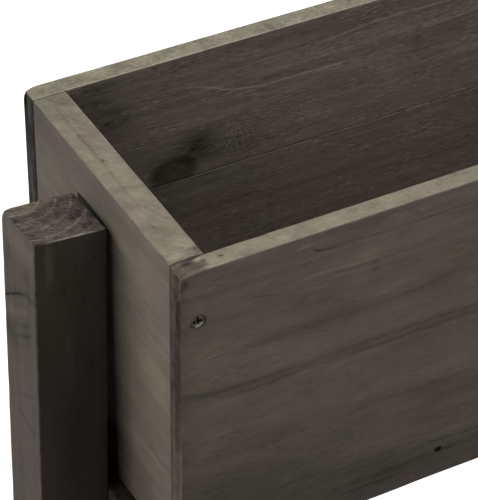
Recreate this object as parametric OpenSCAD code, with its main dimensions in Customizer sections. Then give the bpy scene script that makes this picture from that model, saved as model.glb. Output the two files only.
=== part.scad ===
// Raised garden bed: a narrow wooden trough that stands on a trestle with one post at each end.
// +X runs along the trough, -Y is the front, +Z is up. The origin is on the ground, under the middle.
// Pieces that come at both ends are drawn at the left end (-X) and mirrored to the right.

/* [Trough] */
// Length of the trough along its rim
trough_l = 900; // [700:10:1200]
// Width of the trough over its two long walls
trough_w = 182; // [160:1:260]
// Height of the long walls
wall_h = 210; // [180:1:300]
// Thickness of the long walls
wall_t = 12; // [9:0.5:20]
// Height of the upper plank of the back wall
upper_plank_h = 86; // [70:1:110]
// Thickness of the end boards
end_t = 20; // [16:0.5:30]
// Lean of both ends towards the middle on the way down, in degrees
end_lean = 1.1; // [0:0.1:3]
// How far the long walls hang down past the top of the bearers
wall_lap = 6; // [0:0.5:12]

/* [Floor] */
// Width of a floor cleat, across the trough
cleat_w = 18; // [14:1:30]
// Height of a floor cleat
cleat_h = 18; // [14:1:30]
// Width of a floor slat, along the trough
slat_w = 62; // [40:1:90]
// Thickness of a floor slat
slat_t = 10; // [8:0.5:15]
// Least drainage gap between two floor slats
slat_gap = 8; // [4:0.5:15]

/* [Stand] */
// Height of the rim of the trough above the ground
rim_h = 720; // [560:10:900]
// Thickness of a post along the trough
post_x = 42; // [36:1:60]
// Thickness of a post across the trough
post_y = 40; // [34:1:60]
// Gap between a post and the end board at the rim
post_gap = 5; // [2:0.5:12]
// How far the middle of the top of a post stays below the rim
post_drop = 17; // [5:1:60]
// How far the top of a post slopes down from its outer face to its inner face
post_slope_x = 3.3; // [0:0.1:8]
// How far the top of a post slopes down from its front to its back
post_slope_y = 3.3; // [0:0.1:8]
// Height of a bearer
bearer_h = 72; // [56:1:84]
// How far a bearer reaches past the inner face of the end board
bearer_ledge = 7; // [5:1:20]
// Length of a foot, across the trough
foot_l = 420; // [340:10:560]
// Height of a foot
foot_h = 60; // [56:1:80]
// Thickness of a foot, along the trough
foot_t = 36; // [34:1:50]
// Size of the sloping cut at the upper ends of a foot
foot_bevel = 24; // [5:1:40]
// Width of the stretcher, across the trough
stretcher_w = 40; // [34:1:60]
// Height of the stretcher
stretcher_h = 40; // [34:1:60]
// Diameter of a foot pad
pad_d = 30; // [20:1:32]
// Thickness of a foot pad
pad_t = 5; // [4:0.5:8]
// Distance from the end of a foot to the middle of its pad
pad_inset = 32; // [20:1:60]

/* [Wood screws] */
// Shank diameter of the wood screws
screw_d = 4; // [3:0.5:5]
// Head diameter of the wood screws
screw_head_d = 8; // [7:0.5:10]
// How far a screw head sits below the face of the wood
screw_sink = 0.5; // [0:0.1:1]
// Length of the screws through the long walls into the end boards
wall_screw_l = 40; // [30:1:50]
// Height of the outermost screws in from the rim, and in from the foot of the end board
wall_screw_inset = 33; // [28:1:40]
// Height of the screws in from the seam of the back wall
seam_screw_inset = 20; // [14:1:24]
// Wood that is left past the tip of a screw
screw_cover = 5; // [3:0.5:7]
// Length of the screws that hold the foot pads
pad_screw_l = 22; // [16:1:30]
// Shank diameter of the screws through the bearers
bearer_screw_d = 5; // [4:0.5:6]
// Head diameter of the screws through the bearers
bearer_screw_head_d = 10; // [9:0.5:11]
// How far the screws through the bearers reach into the end boards
bearer_screw_bite = 25; // [18:1:26]
// Depth of the counterbore under each of these screws
bearer_screw_sink = 36; // [15:1:40]
// Distance between the two screws through a bearer
bearer_screw_spacing = 70; // [60:1:100]

/* [Bolts and dowels] */
// Diameter of the bolts
bolt_d = 8; // [6:1:8]
// Diameter of a domed bolt head
bolt_head_d = 20; // [18:1:22]
// Height of a domed bolt head
bolt_head_h = 4.5; // [3:0.5:6]
// Depth of the square neck under a domed head
bolt_neck = 5; // [3:0.5:7]
// Distance between the two bolts of a bearer or a foot
bolt_spacing = 30; // [26:1:32]
// Outside diameter of a washer
washer_d = 22; // [18:1:24]
// Thickness of a washer
washer_t = 1.6; // [1:0.1:2.5]
// Width of a nut or a hex head over its flats
hex_af = 13; // [12:1:15]
// Height of a nut
nut_h = 6.5; // [5:0.5:8]
// Height of the hex head of a rail bolt
hex_head_h = 5.5; // [4:0.5:7]
// Bolt left standing past its nut
bolt_spare = 3; // [1:0.5:6]
// Diameter of a barrel nut
barrel_d = 12; // [11:1:14]
// Length of a barrel nut
barrel_l = 26; // [20:1:30]
// Distance from the end of the stretcher to the middle of the barrel nut
barrel_inset = 32; // [25:1:45]
// Number of dowels in the seam of the back wall
dowel_count = 3; // [1:1:5]
// Diameter of a seam dowel
dowel_d = 6; // [5:0.5:7]
// Length of a seam dowel
dowel_l = 36; // [24:1:50]

/* [Fits] */
// Clearance round a screw, bolt or dowel in its hole
hole_clear = 0.1; // [0.05:0.05:0.3]
// Clearance between pieces that slide together at assembly
fit_clear = 0.3; // [0.1:0.1:0.8]
// Clearance at each end of a floor slat
slat_clear = 1.5; // [0.5:0.5:3]
// Eased edge of the posts and beams
beam_ease = 1.5; // [0.5:0.5:3]
// Eased edge of the walls, end boards, cleats and slats
board_ease = 0.8; // [0.2:0.1:2]

/* [Hidden] */
$fn = 48;
over = 1; // how far a cutting shape runs past the face that it cuts
driver_room = 1; // room round a screw head in its counterbore
recess_span = 0.6; // arms of a cross recess, as a share of the screw head's diameter
recess_slot = 0.14; // width of an arm, as a share of the same
recess_depth = 0.8; // depth of the recess, as a share of the head's height
point_d = 1; // diameter of a screw at its point
pad_count = 4; // two under each foot

// Heights
wall_foot_z = rim_h - wall_h;
seat_z = wall_foot_z + wall_lap; // top of the bearers, where the trough stands
end_h = wall_h - wall_lap;
bearer_foot_z = seat_z - bearer_h;
slat_z = seat_z + cleat_h;
foot_top_z = pad_t + foot_h;
stretcher_mid_z = foot_top_z + stretcher_h / 2;

// Across the trough
inner_w = trough_w - 2 * wall_t;
bearer_l = inner_w - 2 * fit_clear;
cleat_mid_y = inner_w / 2 - cleat_w / 2;

// Along the trough, at the left end
end_across = end_t / cos(end_lean); // level thickness of the leaning end board
function end_x(depth) = -trough_l / 2 + depth * tan(end_lean); // outer face at a depth below the rim
function end_mid_x(depth) = end_x(depth) + end_across / 2;
function end_inner_x(depth) = end_x(depth) + end_across;
post_in_x = -trough_l / 2 - post_gap;
post_out_x = post_in_x - post_x;
bearer_t = end_inner_x(end_h) + bearer_ledge - post_in_x;
barrel_x = post_in_x + barrel_inset;

// Floor slats, spread evenly between the end boards
floor_l = -2 * end_inner_x(rim_h - slat_z);
slat_count = floor((floor_l - slat_gap) / (slat_w + slat_gap));
slat_space = (floor_l - slat_count * slat_w) / (slat_count + 1);
slat_pitch = slat_w + slat_space;
function slat_mid_x(i) = -floor_l / 2 + slat_space + slat_w / 2 + (i - 1) * slat_pitch;

// Screws
cleat_screw_l = cleat_w + wall_t - screw_cover;
slat_screw_l = slat_t + cleat_h - screw_cover;
bearer_screw_l = bearer_h - bearer_screw_sink + bearer_screw_bite;
cleat_screw_xs = [for (i = [2 : 2 : slat_count - 2]) slat_mid_x(i) + slat_pitch / 2];
front_depths = [wall_screw_inset, end_h - wall_screw_inset];
upper_depths = [seam_screw_inset, upper_plank_h - seam_screw_inset];
lower_depths = [upper_plank_h + seam_screw_inset, end_h - wall_screw_inset];
back_depths = concat(upper_depths, lower_depths);

// Bolts: the middle heights of the pairs, and how much wood each pair holds
bearer_bolt_z = seat_z - bearer_h / 2;
foot_bolt_z = pad_t + foot_h / 2;
rail_bolt_l = post_x + barrel_inset + barrel_d / 2 + bolt_spare;
dowel_xs = [for (i = [0 : dowel_count - 1]) (i + 0.5) * trough_l / dowel_count - trough_l / 2];

wall_colour = [0.31, 0.28, 0.25];
end_colour = [0.40, 0.37, 0.33];
post_colour = [0.36, 0.33, 0.30];
beam_colour = [0.33, 0.30, 0.27];
floor_colour = [0.27, 0.24, 0.21];
dowel_colour = [0.72, 0.60, 0.42];
steel_colour = [0.30, 0.30, 0.31];
rubber_colour = [0.10, 0.10, 0.10];

slat_names = [for (i = [1 : slat_count]) str("floor_slat_", i)];
pad_names = [for (i = [1 : pad_count]) str("foot_pad_", i)];

// Shared shapes

// Draws its children at the left end for side -1 and at the right end for side 1.
module at_end(side) mirror([side > 0 ? 1 : 0, 0, 0]) children();

// Draws its children at the front for side -1 and at the back for side 1.
module at_wall(side) mirror([0, side > 0 ? 1 : 0, 0]) children();

// Rectangle with its corners eased.
module eased_profile(a, b, ease)
    polygon([
        [ease, 0], [a - ease, 0], [a, ease], [a, b - ease],
        [a - ease, b], [ease, b], [0, b - ease], [0, ease]
    ]);

// Bar with its four edges along x eased. It starts at the origin and fills x by y by z.
module eased_bar(x, y, z, ease) rotate([90, 0, 90]) linear_extrude(x) eased_profile(y, z, ease);

// Block with all its edges eased. It starts at the origin and fills x by y by z.
module eased_block(x, y, z, ease)
    intersection() {
        eased_bar(x, y, z, ease);
        translate([0, y, 0]) rotate([90, 0, 0]) linear_extrude(y) eased_profile(x, z, ease);
        linear_extrude(z) eased_profile(x, y, ease);
    }

// Part of a long wall between two depths below the rim, with both ends cut to the lean
// and the edges at the rim and at the foot eased. It fills y from 0 to the wall's thickness.
module wall_board(top, bottom)
    intersection() {
        translate([0, wall_t, rim_h]) rotate([90, 0, 0]) linear_extrude(wall_t)
            polygon([
                [end_x(top), -top], [-end_x(top), -top],
                [-end_x(bottom), -bottom], [end_x(bottom), -bottom]
            ]);
        translate([end_x(0), 0, wall_foot_z]) eased_bar(-2 * end_x(0), wall_t, wall_h, board_ease);
    }

// Countersunk wood screw, driven down from z = 0, with a cross recess in its head.
module wood_screw(d, head_d, l) {
    head_h = (head_d - d) / 2;
    arm_l = head_d * recess_span;
    arm_w = head_d * recess_slot;
    difference() {
        union() {
            translate([0, 0, -head_h]) cylinder(h = head_h, d1 = d, d2 = head_d);
            translate([0, 0, d - l]) cylinder(h = l - d - head_h / 2, d = d);
            translate([0, 0, -l]) cylinder(h = d, d1 = point_d, d2 = d);
        }
        for (turn = [0, 90])
            rotate([0, 0, turn])
                translate([-arm_l / 2, -arm_w / 2, -head_h * recess_depth]) cube([arm_l, arm_w, head_h]);
    }
}

// The hole that a wood screw needs, with its countersink and a way in above the head.
module screw_hole(d, head_d, l) {
    head_h = (head_d - d) / 2;
    translate([0, 0, -head_h]) cylinder(h = head_h, d1 = d + 2 * hole_clear, d2 = head_d + 2 * hole_clear);
    cylinder(h = screw_sink + over, d = head_d + 2 * hole_clear);
    translate([0, 0, -l - hole_clear]) cylinder(h = l, d = d + 2 * hole_clear);
}

// Hole for a bolt along +X from the origin.
module bolt_hole(l) rotate([0, 90, 0]) cylinder(h = l, d = bolt_d + 2 * hole_clear);

// Places of the fasteners. Each draws its children once for each fastener, turned to suit.

// Screws in from the outer face of the front (-1) or back (1) wall, at both ends.
module at_wall_screws(side, depths)
    for (end = [-1, 1])
        at_end(end)
            at_wall(side)
                for (depth = depths)
                    translate([end_mid_x(depth), screw_sink - trough_w / 2, rim_h - depth])
                        rotate([90, 0, 0]) children();

// Screws through the front (-1) or back (1) cleat into its wall.
module at_cleat_screws(side)
    at_wall(side)
        for (x = cleat_screw_xs)
            translate([x, cleat_w - inner_w / 2 - screw_sink, seat_z + cleat_h / 2])
                rotate([-90, 0, 0]) children();

// Screws down through slat i into the front (-1) or back (1) cleat.
module at_slat_screws(side, i)
    translate([slat_mid_x(i), side * cleat_mid_y, slat_z + slat_t - screw_sink]) children();

// Screws up through the left bearer into its end board.
module at_bearer_screws()
    for (side = [-1, 1])
        translate([end_mid_x(end_h), side * bearer_screw_spacing / 2, bearer_foot_z + bearer_screw_sink])
            rotate([180, 0, 0]) children();

// Pair of bolts in the left post, about a middle height.
module at_bolt_pair(middle)
    for (side = [-1, 1])
        translate([post_out_x, 0, middle + side * bolt_spacing / 2]) children();

// Pads under the left foot.
module at_foot_pads()
    for (side = [-1, 1]) at_foot_pad(side) children();
module at_foot_pad(side)
    translate([post_in_x + foot_t / 2, side * (foot_l / 2 - pad_inset), 0]) children();

// Trough

module front_wall() color(wall_colour)
    difference() {
        translate([0, -trough_w / 2, 0]) wall_board(0, wall_h);
        at_wall_screws(-1, front_depths) screw_hole(screw_d, screw_head_d, wall_screw_l);
        at_cleat_screws(-1) screw_hole(screw_d, screw_head_d, cleat_screw_l);
    }

module back_wall_upper() color(wall_colour)
    difference() {
        translate([0, trough_w / 2 - wall_t, 0]) wall_board(0, upper_plank_h);
        at_wall_screws(1, upper_depths) screw_hole(screw_d, screw_head_d, wall_screw_l);
        dowel_holes();
    }

module back_wall_lower() color(wall_colour)
    difference() {
        translate([0, trough_w / 2 - wall_t, 0]) wall_board(upper_plank_h, wall_h);
        at_wall_screws(1, lower_depths) screw_hole(screw_d, screw_head_d, wall_screw_l);
        at_cleat_screws(1) screw_hole(screw_d, screw_head_d, cleat_screw_l);
        dowel_holes();
    }

module end_board(end) color(end_colour)
    at_end(end)
        difference() {
            translate([0, inner_w / 2 - fit_clear, rim_h]) rotate([90, 0, 0])
                linear_extrude(inner_w - 2 * fit_clear)
                    polygon([
                        [end_x(board_ease), -board_ease], [end_x(0) + board_ease, 0],
                        [end_inner_x(0) - board_ease, 0], [end_inner_x(board_ease), -board_ease],
                        [end_inner_x(end_h), -end_h], [end_x(end_h), -end_h]
                    ]);
            at_wall_screws(-1, front_depths) screw_hole(screw_d, screw_head_d, wall_screw_l);
            at_wall_screws(1, back_depths) screw_hole(screw_d, screw_head_d, wall_screw_l);
            at_bearer_screws() screw_hole(bearer_screw_d, bearer_screw_head_d, bearer_screw_l);
        }

module cleat(side) color(floor_colour)
    difference() {
        at_wall(side)
            translate([end_inner_x(end_h) + fit_clear, -inner_w / 2, seat_z])
                eased_block(-2 * (end_inner_x(end_h) + fit_clear), cleat_w, cleat_h, board_ease);
        at_cleat_screws(side) screw_hole(screw_d, screw_head_d, cleat_screw_l);
        for (i = [1 : slat_count]) at_slat_screws(side, i) screw_hole(screw_d, screw_head_d, slat_screw_l);
    }

module floor_slat(i) color(floor_colour)
    difference() {
        translate([slat_mid_x(i) - slat_w / 2, slat_clear - inner_w / 2, slat_z])
            eased_block(slat_w, inner_w - 2 * slat_clear, slat_t, board_ease);
        for (side = [-1, 1]) at_slat_screws(side, i) screw_hole(screw_d, screw_head_d, slat_screw_l);
    }

module dowel_holes()
    for (x = dowel_xs)
        translate([x, trough_w / 2 - wall_t / 2, rim_h - upper_plank_h - dowel_l / 2 - fit_clear])
            cylinder(h = dowel_l + 2 * fit_clear, d = dowel_d + 2 * hole_clear);

module seam_dowels() color(dowel_colour)
    for (x = dowel_xs)
        translate([x, trough_w / 2 - wall_t / 2, rim_h - upper_plank_h - dowel_l / 2])
            cylinder(h = dowel_l, d = dowel_d);

module wall_screws() color(steel_colour) {
    at_wall_screws(-1, front_depths) wood_screw(screw_d, screw_head_d, wall_screw_l);
    at_wall_screws(1, back_depths) wood_screw(screw_d, screw_head_d, wall_screw_l);
}

module cleat_screws() color(steel_colour)
    for (side = [-1, 1]) at_cleat_screws(side) wood_screw(screw_d, screw_head_d, cleat_screw_l);

module slat_screws() color(steel_colour)
    for (side = [-1, 1])
        for (i = [1 : slat_count]) at_slat_screws(side, i) wood_screw(screw_d, screw_head_d, slat_screw_l);

// Stand

// What the sloping cut takes off the top of the left post.
module post_top_cut()
    translate([post_out_x + post_x / 2, 0, rim_h - post_drop])
        rotate([-atan(post_slope_y / post_y), atan(post_slope_x / post_x), 0])
            translate([-post_x, -post_y, 0]) cube([2 * post_x, 2 * post_y, post_x]);

module post(end) color(post_colour)
    at_end(end)
        difference() {
            translate([post_out_x, -post_y / 2, pad_t])
                eased_block(
                    post_x, post_y,
                    rim_h - post_drop - pad_t + (post_slope_x + post_slope_y) / 2 + beam_ease,
                    beam_ease
                );
            post_top_cut();
            for (middle = [bearer_bolt_z, foot_bolt_z])
                at_bolt_pair(middle) {
                    translate([-over, 0, 0]) bolt_hole(post_x + 2 * over);
                    bolt_neck_block(hole_clear);
                }
            translate([post_out_x - over, 0, stretcher_mid_z]) bolt_hole(post_x + 2 * over);
        }

// The bearer fits between the long walls, under the end board.
module bearer(end) color(beam_colour)
    at_end(end)
        difference() {
            translate([post_in_x, -bearer_l / 2, bearer_foot_z])
                eased_block(bearer_t, bearer_l, bearer_h, beam_ease);
            at_bolt_pair(bearer_bolt_z) translate([post_x - over, 0, 0]) bolt_hole(bearer_t + 2 * over);
            at_bearer_screws() screw_hole(bearer_screw_d, bearer_screw_head_d, bearer_screw_l);
            at_bearer_screws()
                cylinder(h = bearer_screw_sink + over, d = bearer_screw_head_d + 2 * driver_room);
        }

module foot(end) color(beam_colour)
    at_end(end)
        difference() {
            translate([post_in_x, 0, pad_t]) rotate([90, 0, 90]) linear_extrude(foot_t)
                polygon([
                    [-foot_l / 2, 0], [foot_l / 2, 0],
                    [foot_l / 2, foot_h - foot_bevel], [foot_l / 2 - foot_bevel, foot_h],
                    [foot_bevel - foot_l / 2, foot_h], [-foot_l / 2, foot_h - foot_bevel]
                ]);
            at_bolt_pair(foot_bolt_z) translate([post_x - over, 0, 0]) bolt_hole(foot_t + 2 * over);
            at_foot_pads() at_pad_screw() screw_hole(screw_d, screw_head_d, pad_screw_l);
        }

// The stretcher rests on both feet and meets both posts.
module stretcher() color(beam_colour)
    difference() {
        translate([post_in_x, -stretcher_w / 2, foot_top_z])
            eased_block(-2 * post_in_x, stretcher_w, stretcher_h, beam_ease);
        for (end = [-1, 1])
            at_end(end) {
                translate([post_in_x - over, 0, stretcher_mid_z])
                    bolt_hole(rail_bolt_l - post_x + over + fit_clear);
                translate([barrel_x, barrel_l / 2 + fit_clear, stretcher_mid_z])
                    rotate([90, 0, 0])
                        cylinder(h = stretcher_w / 2 + barrel_l / 2 + over, d = barrel_d + 2 * hole_clear);
            }
    }

// Domed bolt along +X, with its head outside the origin.
module domed_bolt(l) {
    cap_r = (pow(bolt_head_d / 2, 2) + pow(bolt_head_h, 2)) / (2 * bolt_head_h);
    rotate([0, -90, 0])
        intersection() {
            translate([0, 0, bolt_head_h - cap_r]) sphere(r = cap_r);
            cylinder(h = bolt_head_h, d = bolt_head_d);
        }
    bolt_neck_block(0);
    rotate([0, 90, 0]) cylinder(h = l, d = bolt_d);
}

// Square neck that keeps a domed bolt from turning.
module bolt_neck_block(clear)
    translate([-clear, -bolt_d / 2 - clear, -bolt_d / 2 - clear])
        cube([bolt_neck + 2 * clear, bolt_d + 2 * clear, bolt_d + 2 * clear]);

module bolts(middle, wood)
    for (end = [-1, 1])
        at_end(end) at_bolt_pair(middle) domed_bolt(wood + washer_t + nut_h + bolt_spare);

module bearer_bolts() color(steel_colour) bolts(bearer_bolt_z, post_x + bearer_t);
module foot_bolts() color(steel_colour) bolts(foot_bolt_z, post_x + foot_t);

// Draws its children at the inner face of the beam that each frame bolt holds.
module at_bolt_ends()
    for (end = [-1, 1])
        at_end(end) {
            at_bolt_pair(bearer_bolt_z) translate([post_x + bearer_t, 0, 0]) children();
            at_bolt_pair(foot_bolt_z) translate([post_x + foot_t, 0, 0]) children();
        }

// Washer that fills x from 0 to its thickness.
module washer()
    rotate([0, 90, 0])
        difference() {
            cylinder(h = washer_t, d = washer_d);
            translate([0, 0, -over]) cylinder(h = washer_t + 2 * over, d = bolt_d + 4 * hole_clear);
        }

// Hexagon that fills x from 0 to h.
module hexagon(h) rotate([0, 90, 0]) cylinder(h = h, d = hex_af / cos(30), $fn = 6);

module frame_washers() color(steel_colour) at_bolt_ends() washer();

module frame_nuts() color(steel_colour)
    at_bolt_ends()
        translate([washer_t, 0, 0])
            difference() {
                hexagon(nut_h);
                translate([-over, 0, 0]) bolt_hole(nut_h + 2 * over);
            }

module rail_bolts() color(steel_colour)
    for (end = [-1, 1])
        at_end(end)
            translate([post_out_x - washer_t, 0, stretcher_mid_z]) {
                translate([-hex_head_h, 0, 0]) hexagon(hex_head_h);
                rotate([0, 90, 0]) cylinder(h = washer_t + rail_bolt_l, d = bolt_d);
            }

module rail_washers() color(steel_colour)
    for (end = [-1, 1])
        at_end(end) translate([post_out_x - washer_t, 0, stretcher_mid_z]) washer();

module barrel_nuts() color(steel_colour)
    for (end = [-1, 1])
        at_end(end)
            translate([barrel_x, 0, stretcher_mid_z])
                difference() {
                    rotate([90, 0, 0]) cylinder(h = barrel_l, d = barrel_d, center = true);
                    translate([-barrel_d, 0, 0]) bolt_hole(2 * barrel_d);
                }

module bearer_screws() color(steel_colour)
    for (end = [-1, 1])
        at_end(end) at_bearer_screws() wood_screw(bearer_screw_d, bearer_screw_head_d, bearer_screw_l);

// A pad's screw is driven up from inside the pad, with its head clear of the ground.
module at_pad_screw() translate([0, 0, pad_t / 2]) rotate([180, 0, 0]) children();

// Pads 1 and 2 are under the left foot, 3 and 4 under the right, front one first.
module foot_pad(i) color(rubber_colour)
    at_end(i > 2 ? 1 : -1)
        at_foot_pad(i % 2 == 1 ? -1 : 1)
            difference() {
                cylinder(h = pad_t, d = pad_d);
                at_pad_screw() screw_hole(screw_d, screw_head_d, pad_screw_l);
                translate([0, 0, -over]) cylinder(h = pad_t / 2 + over, d = screw_head_d + 2 * hole_clear);
            }

module pad_screws() color(steel_colour)
    for (end = [-1, 1])
        at_end(end) at_foot_pads() at_pad_screw() wood_screw(screw_d, screw_head_d, pad_screw_l);

front_wall();
back_wall_upper();
back_wall_lower();
end_board(-1);  // end_board_left
end_board(1);  // end_board_right
cleat(-1);  // front_cleat
cleat(1);  // back_cleat
for (i = [1 : slat_count]) floor_slat(i);
seam_dowels();
wall_screws();
cleat_screws();
slat_screws();
post(-1);  // post_left
post(1);  // post_right
bearer(-1);  // bearer_left
bearer(1);  // bearer_right
foot(-1);  // foot_left
foot(1);  // foot_right
stretcher();
bearer_bolts();
foot_bolts();
frame_washers();
frame_nuts();
rail_bolts();
rail_washers();
barrel_nuts();
bearer_screws();
for (i = [1 : pad_count]) foot_pad(i);
pad_screws();
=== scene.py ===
"""Looks of a raised garden bed: a narrow wooden trough that stands on a trestle with a post at each end.

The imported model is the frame. Every board, post and beam gets worn, rounded wood in its node's box, and
every screw, bolt and pad a detailed piece in its solid's place. Dowels and barrel nuts keep their solids.
Lengths are in metres, MM turns millimetres into them, and materials work in millimetres.
"""

import math
from types import SimpleNamespace

import bmesh
import bpy
import numpy as np
from mathutils import Matrix, Vector, noise


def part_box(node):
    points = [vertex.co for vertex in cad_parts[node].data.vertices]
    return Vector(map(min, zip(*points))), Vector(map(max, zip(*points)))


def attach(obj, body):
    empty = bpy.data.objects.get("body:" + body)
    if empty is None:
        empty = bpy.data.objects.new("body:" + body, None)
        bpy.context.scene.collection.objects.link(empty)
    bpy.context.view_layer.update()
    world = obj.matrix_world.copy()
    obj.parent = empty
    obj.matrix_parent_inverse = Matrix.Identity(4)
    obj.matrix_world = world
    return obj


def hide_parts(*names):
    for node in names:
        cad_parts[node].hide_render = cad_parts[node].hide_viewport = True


MM = 0.001

# Camera: its place, its two directions, and its lens for a 36 mm sensor
CAMERA_PLACE = (-0.9164, -0.9455, 1.5211)
CAMERA_RIGHT = (0.87354315, -0.48602755, 0.02644962)
CAMERA_FORWARD = (0.39336515, 0.67290766, -0.6264656)
CAMERA_LENS = 183.03

# Studio: sun lamps by direction towards the lamp, strength and spread in degrees, and the fill all round
LAMPS = {
    "right": ((0.45, -0.28, 0.85), 1.85, 40),
    "back_left": ((-0.62, 0.30, 0.72), 1.45, 50),
    "front_left": ((-0.62, -0.55, 0.56), 0.55, 30),
}
FILL = 0.12
FLOOR_SIZE = 40.0
FLOOR_COLOUR = (0.25, 0.25, 0.245)
FLOOR_SHOWN_COLOUR = (0.85, 0.85, 0.85)
FLOOR_SHOWN_GLOW = 0.45

# The trough and the stand in millimetres, as in the part's source
RIM = 720.0
HALF_LENGTH = 450.0
HALF_WIDTH = 91.0
LEAN = math.tan(math.radians(1.1))
POST_TOP = 703.0
POST_HALF_WIDTH = 20

# The same in metres
POST_SLOPE_X = 3.3 * MM
POST_SLOPE_Y = 3.3 * MM
FOOT_BEVEL = 24 * MM
SLATS = 12
PADS = 4

# Wood screws: the diameters of shank and head, and how the one that shows sits in its hole
SCREWS = {
    "wall_screws": (4 * MM, 8 * MM), "cleat_screws": (4 * MM, 8 * MM), "slat_screws": (4 * MM, 8 * MM),
    "bearer_screws": (5 * MM, 10 * MM), "pad_screws": (4 * MM, 8 * MM),
}
HOLE_CLEAR = 0.1 * MM
HOLE_OVER = 2 * MM
HEAD_CLEAR = 0.36 * MM
# A painted highlight lies on each screw head's low side, down to the depth below its top; the hole also
# shifts that way
HEAD_LOW_SIDE = (0.4, 0.0, -0.92)
HEAD_SHIFT = 0.32 * MM
HEAD_HIGHLIGHT_DEPTH = 0.45 * MM

# Bolts, washers, nuts and pads
BOLT_D = 8 * MM
NECK_BORE = 11 * MM
DOME_D, DOME_H, NECK_H = 20 * MM, 4.5 * MM, 5 * MM
HEX_WIDTH, HEX_HEAD_H = 13 * MM, 5.5 * MM
WASHER_D, WASHER_BORE = 22 * MM, 8.4 * MM
NUT_BORE = 8.05 * MM
BARREL_R, BARREL_HALF_LENGTH, BARREL_HOLE_DEPTH = 6 * MM, 13.3 * MM, 60 * MM
PAD_D, PAD_BORE, PAD_HEAD_ROOM = 30 * MM, 4.2 * MM, 2.2 * MM
THREAD_PITCH = 1.25 * MM
THREAD_DEPTH = 0.6 * MM
CHAMFER_SLOPE = math.tan(math.radians(30))
SCREW_SIDES, BOLT_SIDES, HEX_SIDES = 28, 32, 48

# Wooden bars: steps round a corner, how fast their rows of points widen, and the least room beside a corner
CORNER_STEPS = 4
ROW_GROWTH, OUTLINE_GROWTH = 1.12, 1.2
GUARD = 0.6 * MM
END_EASE = 0.8
END_EDGE, NEAR_CORNER_EDGE = 0.8, 0.6
SHARP_ANGLE = math.radians(38)


# Studio

def make_camera():
    right, forward = Vector(CAMERA_RIGHT), Vector(CAMERA_FORWARD)
    up = right.cross(forward)
    data = bpy.data.cameras.new("camera")
    data.lens = CAMERA_LENS
    data.sensor_width = 36
    data.clip_start, data.clip_end = 0.01, 100
    camera = bpy.data.objects.new("camera", data)
    turn = Matrix((right, up, -forward)).transposed().to_4x4()
    camera.matrix_world = Matrix.Translation(CAMERA_PLACE) @ turn
    bpy.context.scene.collection.objects.link(camera)
    bpy.context.scene.camera = camera


def make_lamp(name, towards, strength, spread_angle):
    data = bpy.data.lights.new(name, "SUN")
    data.energy = strength
    data.angle = math.radians(spread_angle)
    lamp = bpy.data.objects.new(name, data)
    lamp.rotation_mode = "QUATERNION"
    lamp.rotation_quaternion = Vector(towards).to_track_quat("Z", "Y")
    bpy.context.scene.collection.objects.link(lamp)


def make_world():
    """An even fill, which the camera, gloss and glass see as white."""
    world = bpy.data.worlds.new("studio")
    world.use_nodes = True
    bpy.context.scene.world = world
    net = Net(world.node_tree)
    seen = net.seen_by_camera()
    strength = seen * (1 - FILL) + FILL
    shader = net.node("ShaderNodeBackground", {"Color": (1, 1, 1, 1), "Strength": strength.socket})
    net.node("ShaderNodeOutputWorld", {"Surface": shader.outputs[0]})


def make_floor():
    half = FLOOR_SIZE / 2
    mesh = bpy.data.meshes.new("floor")
    corners = [(-half, -half, 0), (half, -half, 0), (half, half, 0), (-half, half, 0)]
    mesh.from_pydata(corners, [], [(0, 1, 2, 3)])
    floor = bpy.data.objects.new("floor", mesh)
    bpy.context.scene.collection.objects.link(floor)
    material, net = new_material("studio_floor")
    matt = net.node("ShaderNodeBsdfDiffuse", {"Color": (*FLOOR_COLOUR, 1)})
    pale = net.node("ShaderNodeBsdfDiffuse", {"Color": (*FLOOR_SHOWN_COLOUR, 1)})
    glow = net.node("ShaderNodeEmission", {"Color": (1, 1, 1, 1), "Strength": FLOOR_SHOWN_GLOW})
    shown = net.node("ShaderNodeAddShader", {0: pale.outputs[0], 1: glow.outputs[0]})
    seen = net.seen_by_camera()
    mixed = net.node("ShaderNodeMixShader", {0: seen, 1: matt.outputs[0], 2: shown.outputs[0]})
    net.node("ShaderNodeOutputMaterial", {"Surface": mixed.outputs[0]})
    mesh.materials.append(material)


# Materials

class Num:
    """A number in a node tree. Sums, products and the like of it become Math nodes."""

    def __init__(self, net, socket):
        self.net, self.socket = net, socket

    def do(self, operation, *others):
        return self.net.math(operation, self, *others)

    def __add__(self, other):
        return self.do("ADD", other)

    def __sub__(self, other):
        return self.do("SUBTRACT", other)

    def __mul__(self, other):
        return self.do("MULTIPLY", other)

    def __truediv__(self, other):
        return self.do("DIVIDE", other)

    def __rsub__(self, other):
        return self.net.math("SUBTRACT", other, self)

    def __neg__(self):
        return self * -1

    __radd__ = __add__
    __rmul__ = __mul__

    def step(self, low, high):
        """0 below low, 1 above high, and smooth in between."""
        made = self.net.node("ShaderNodeMapRange", {"Value": self, "From Min": low, "From Max": high},
                             interpolation_type="SMOOTHSTEP")
        return Num(self.net, made.outputs[0])

    def bell(self, width):
        """1 at zero, falling away smoothly on both sides."""
        share = self / width
        return (-(share * share)).do("EXPONENT")


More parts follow.
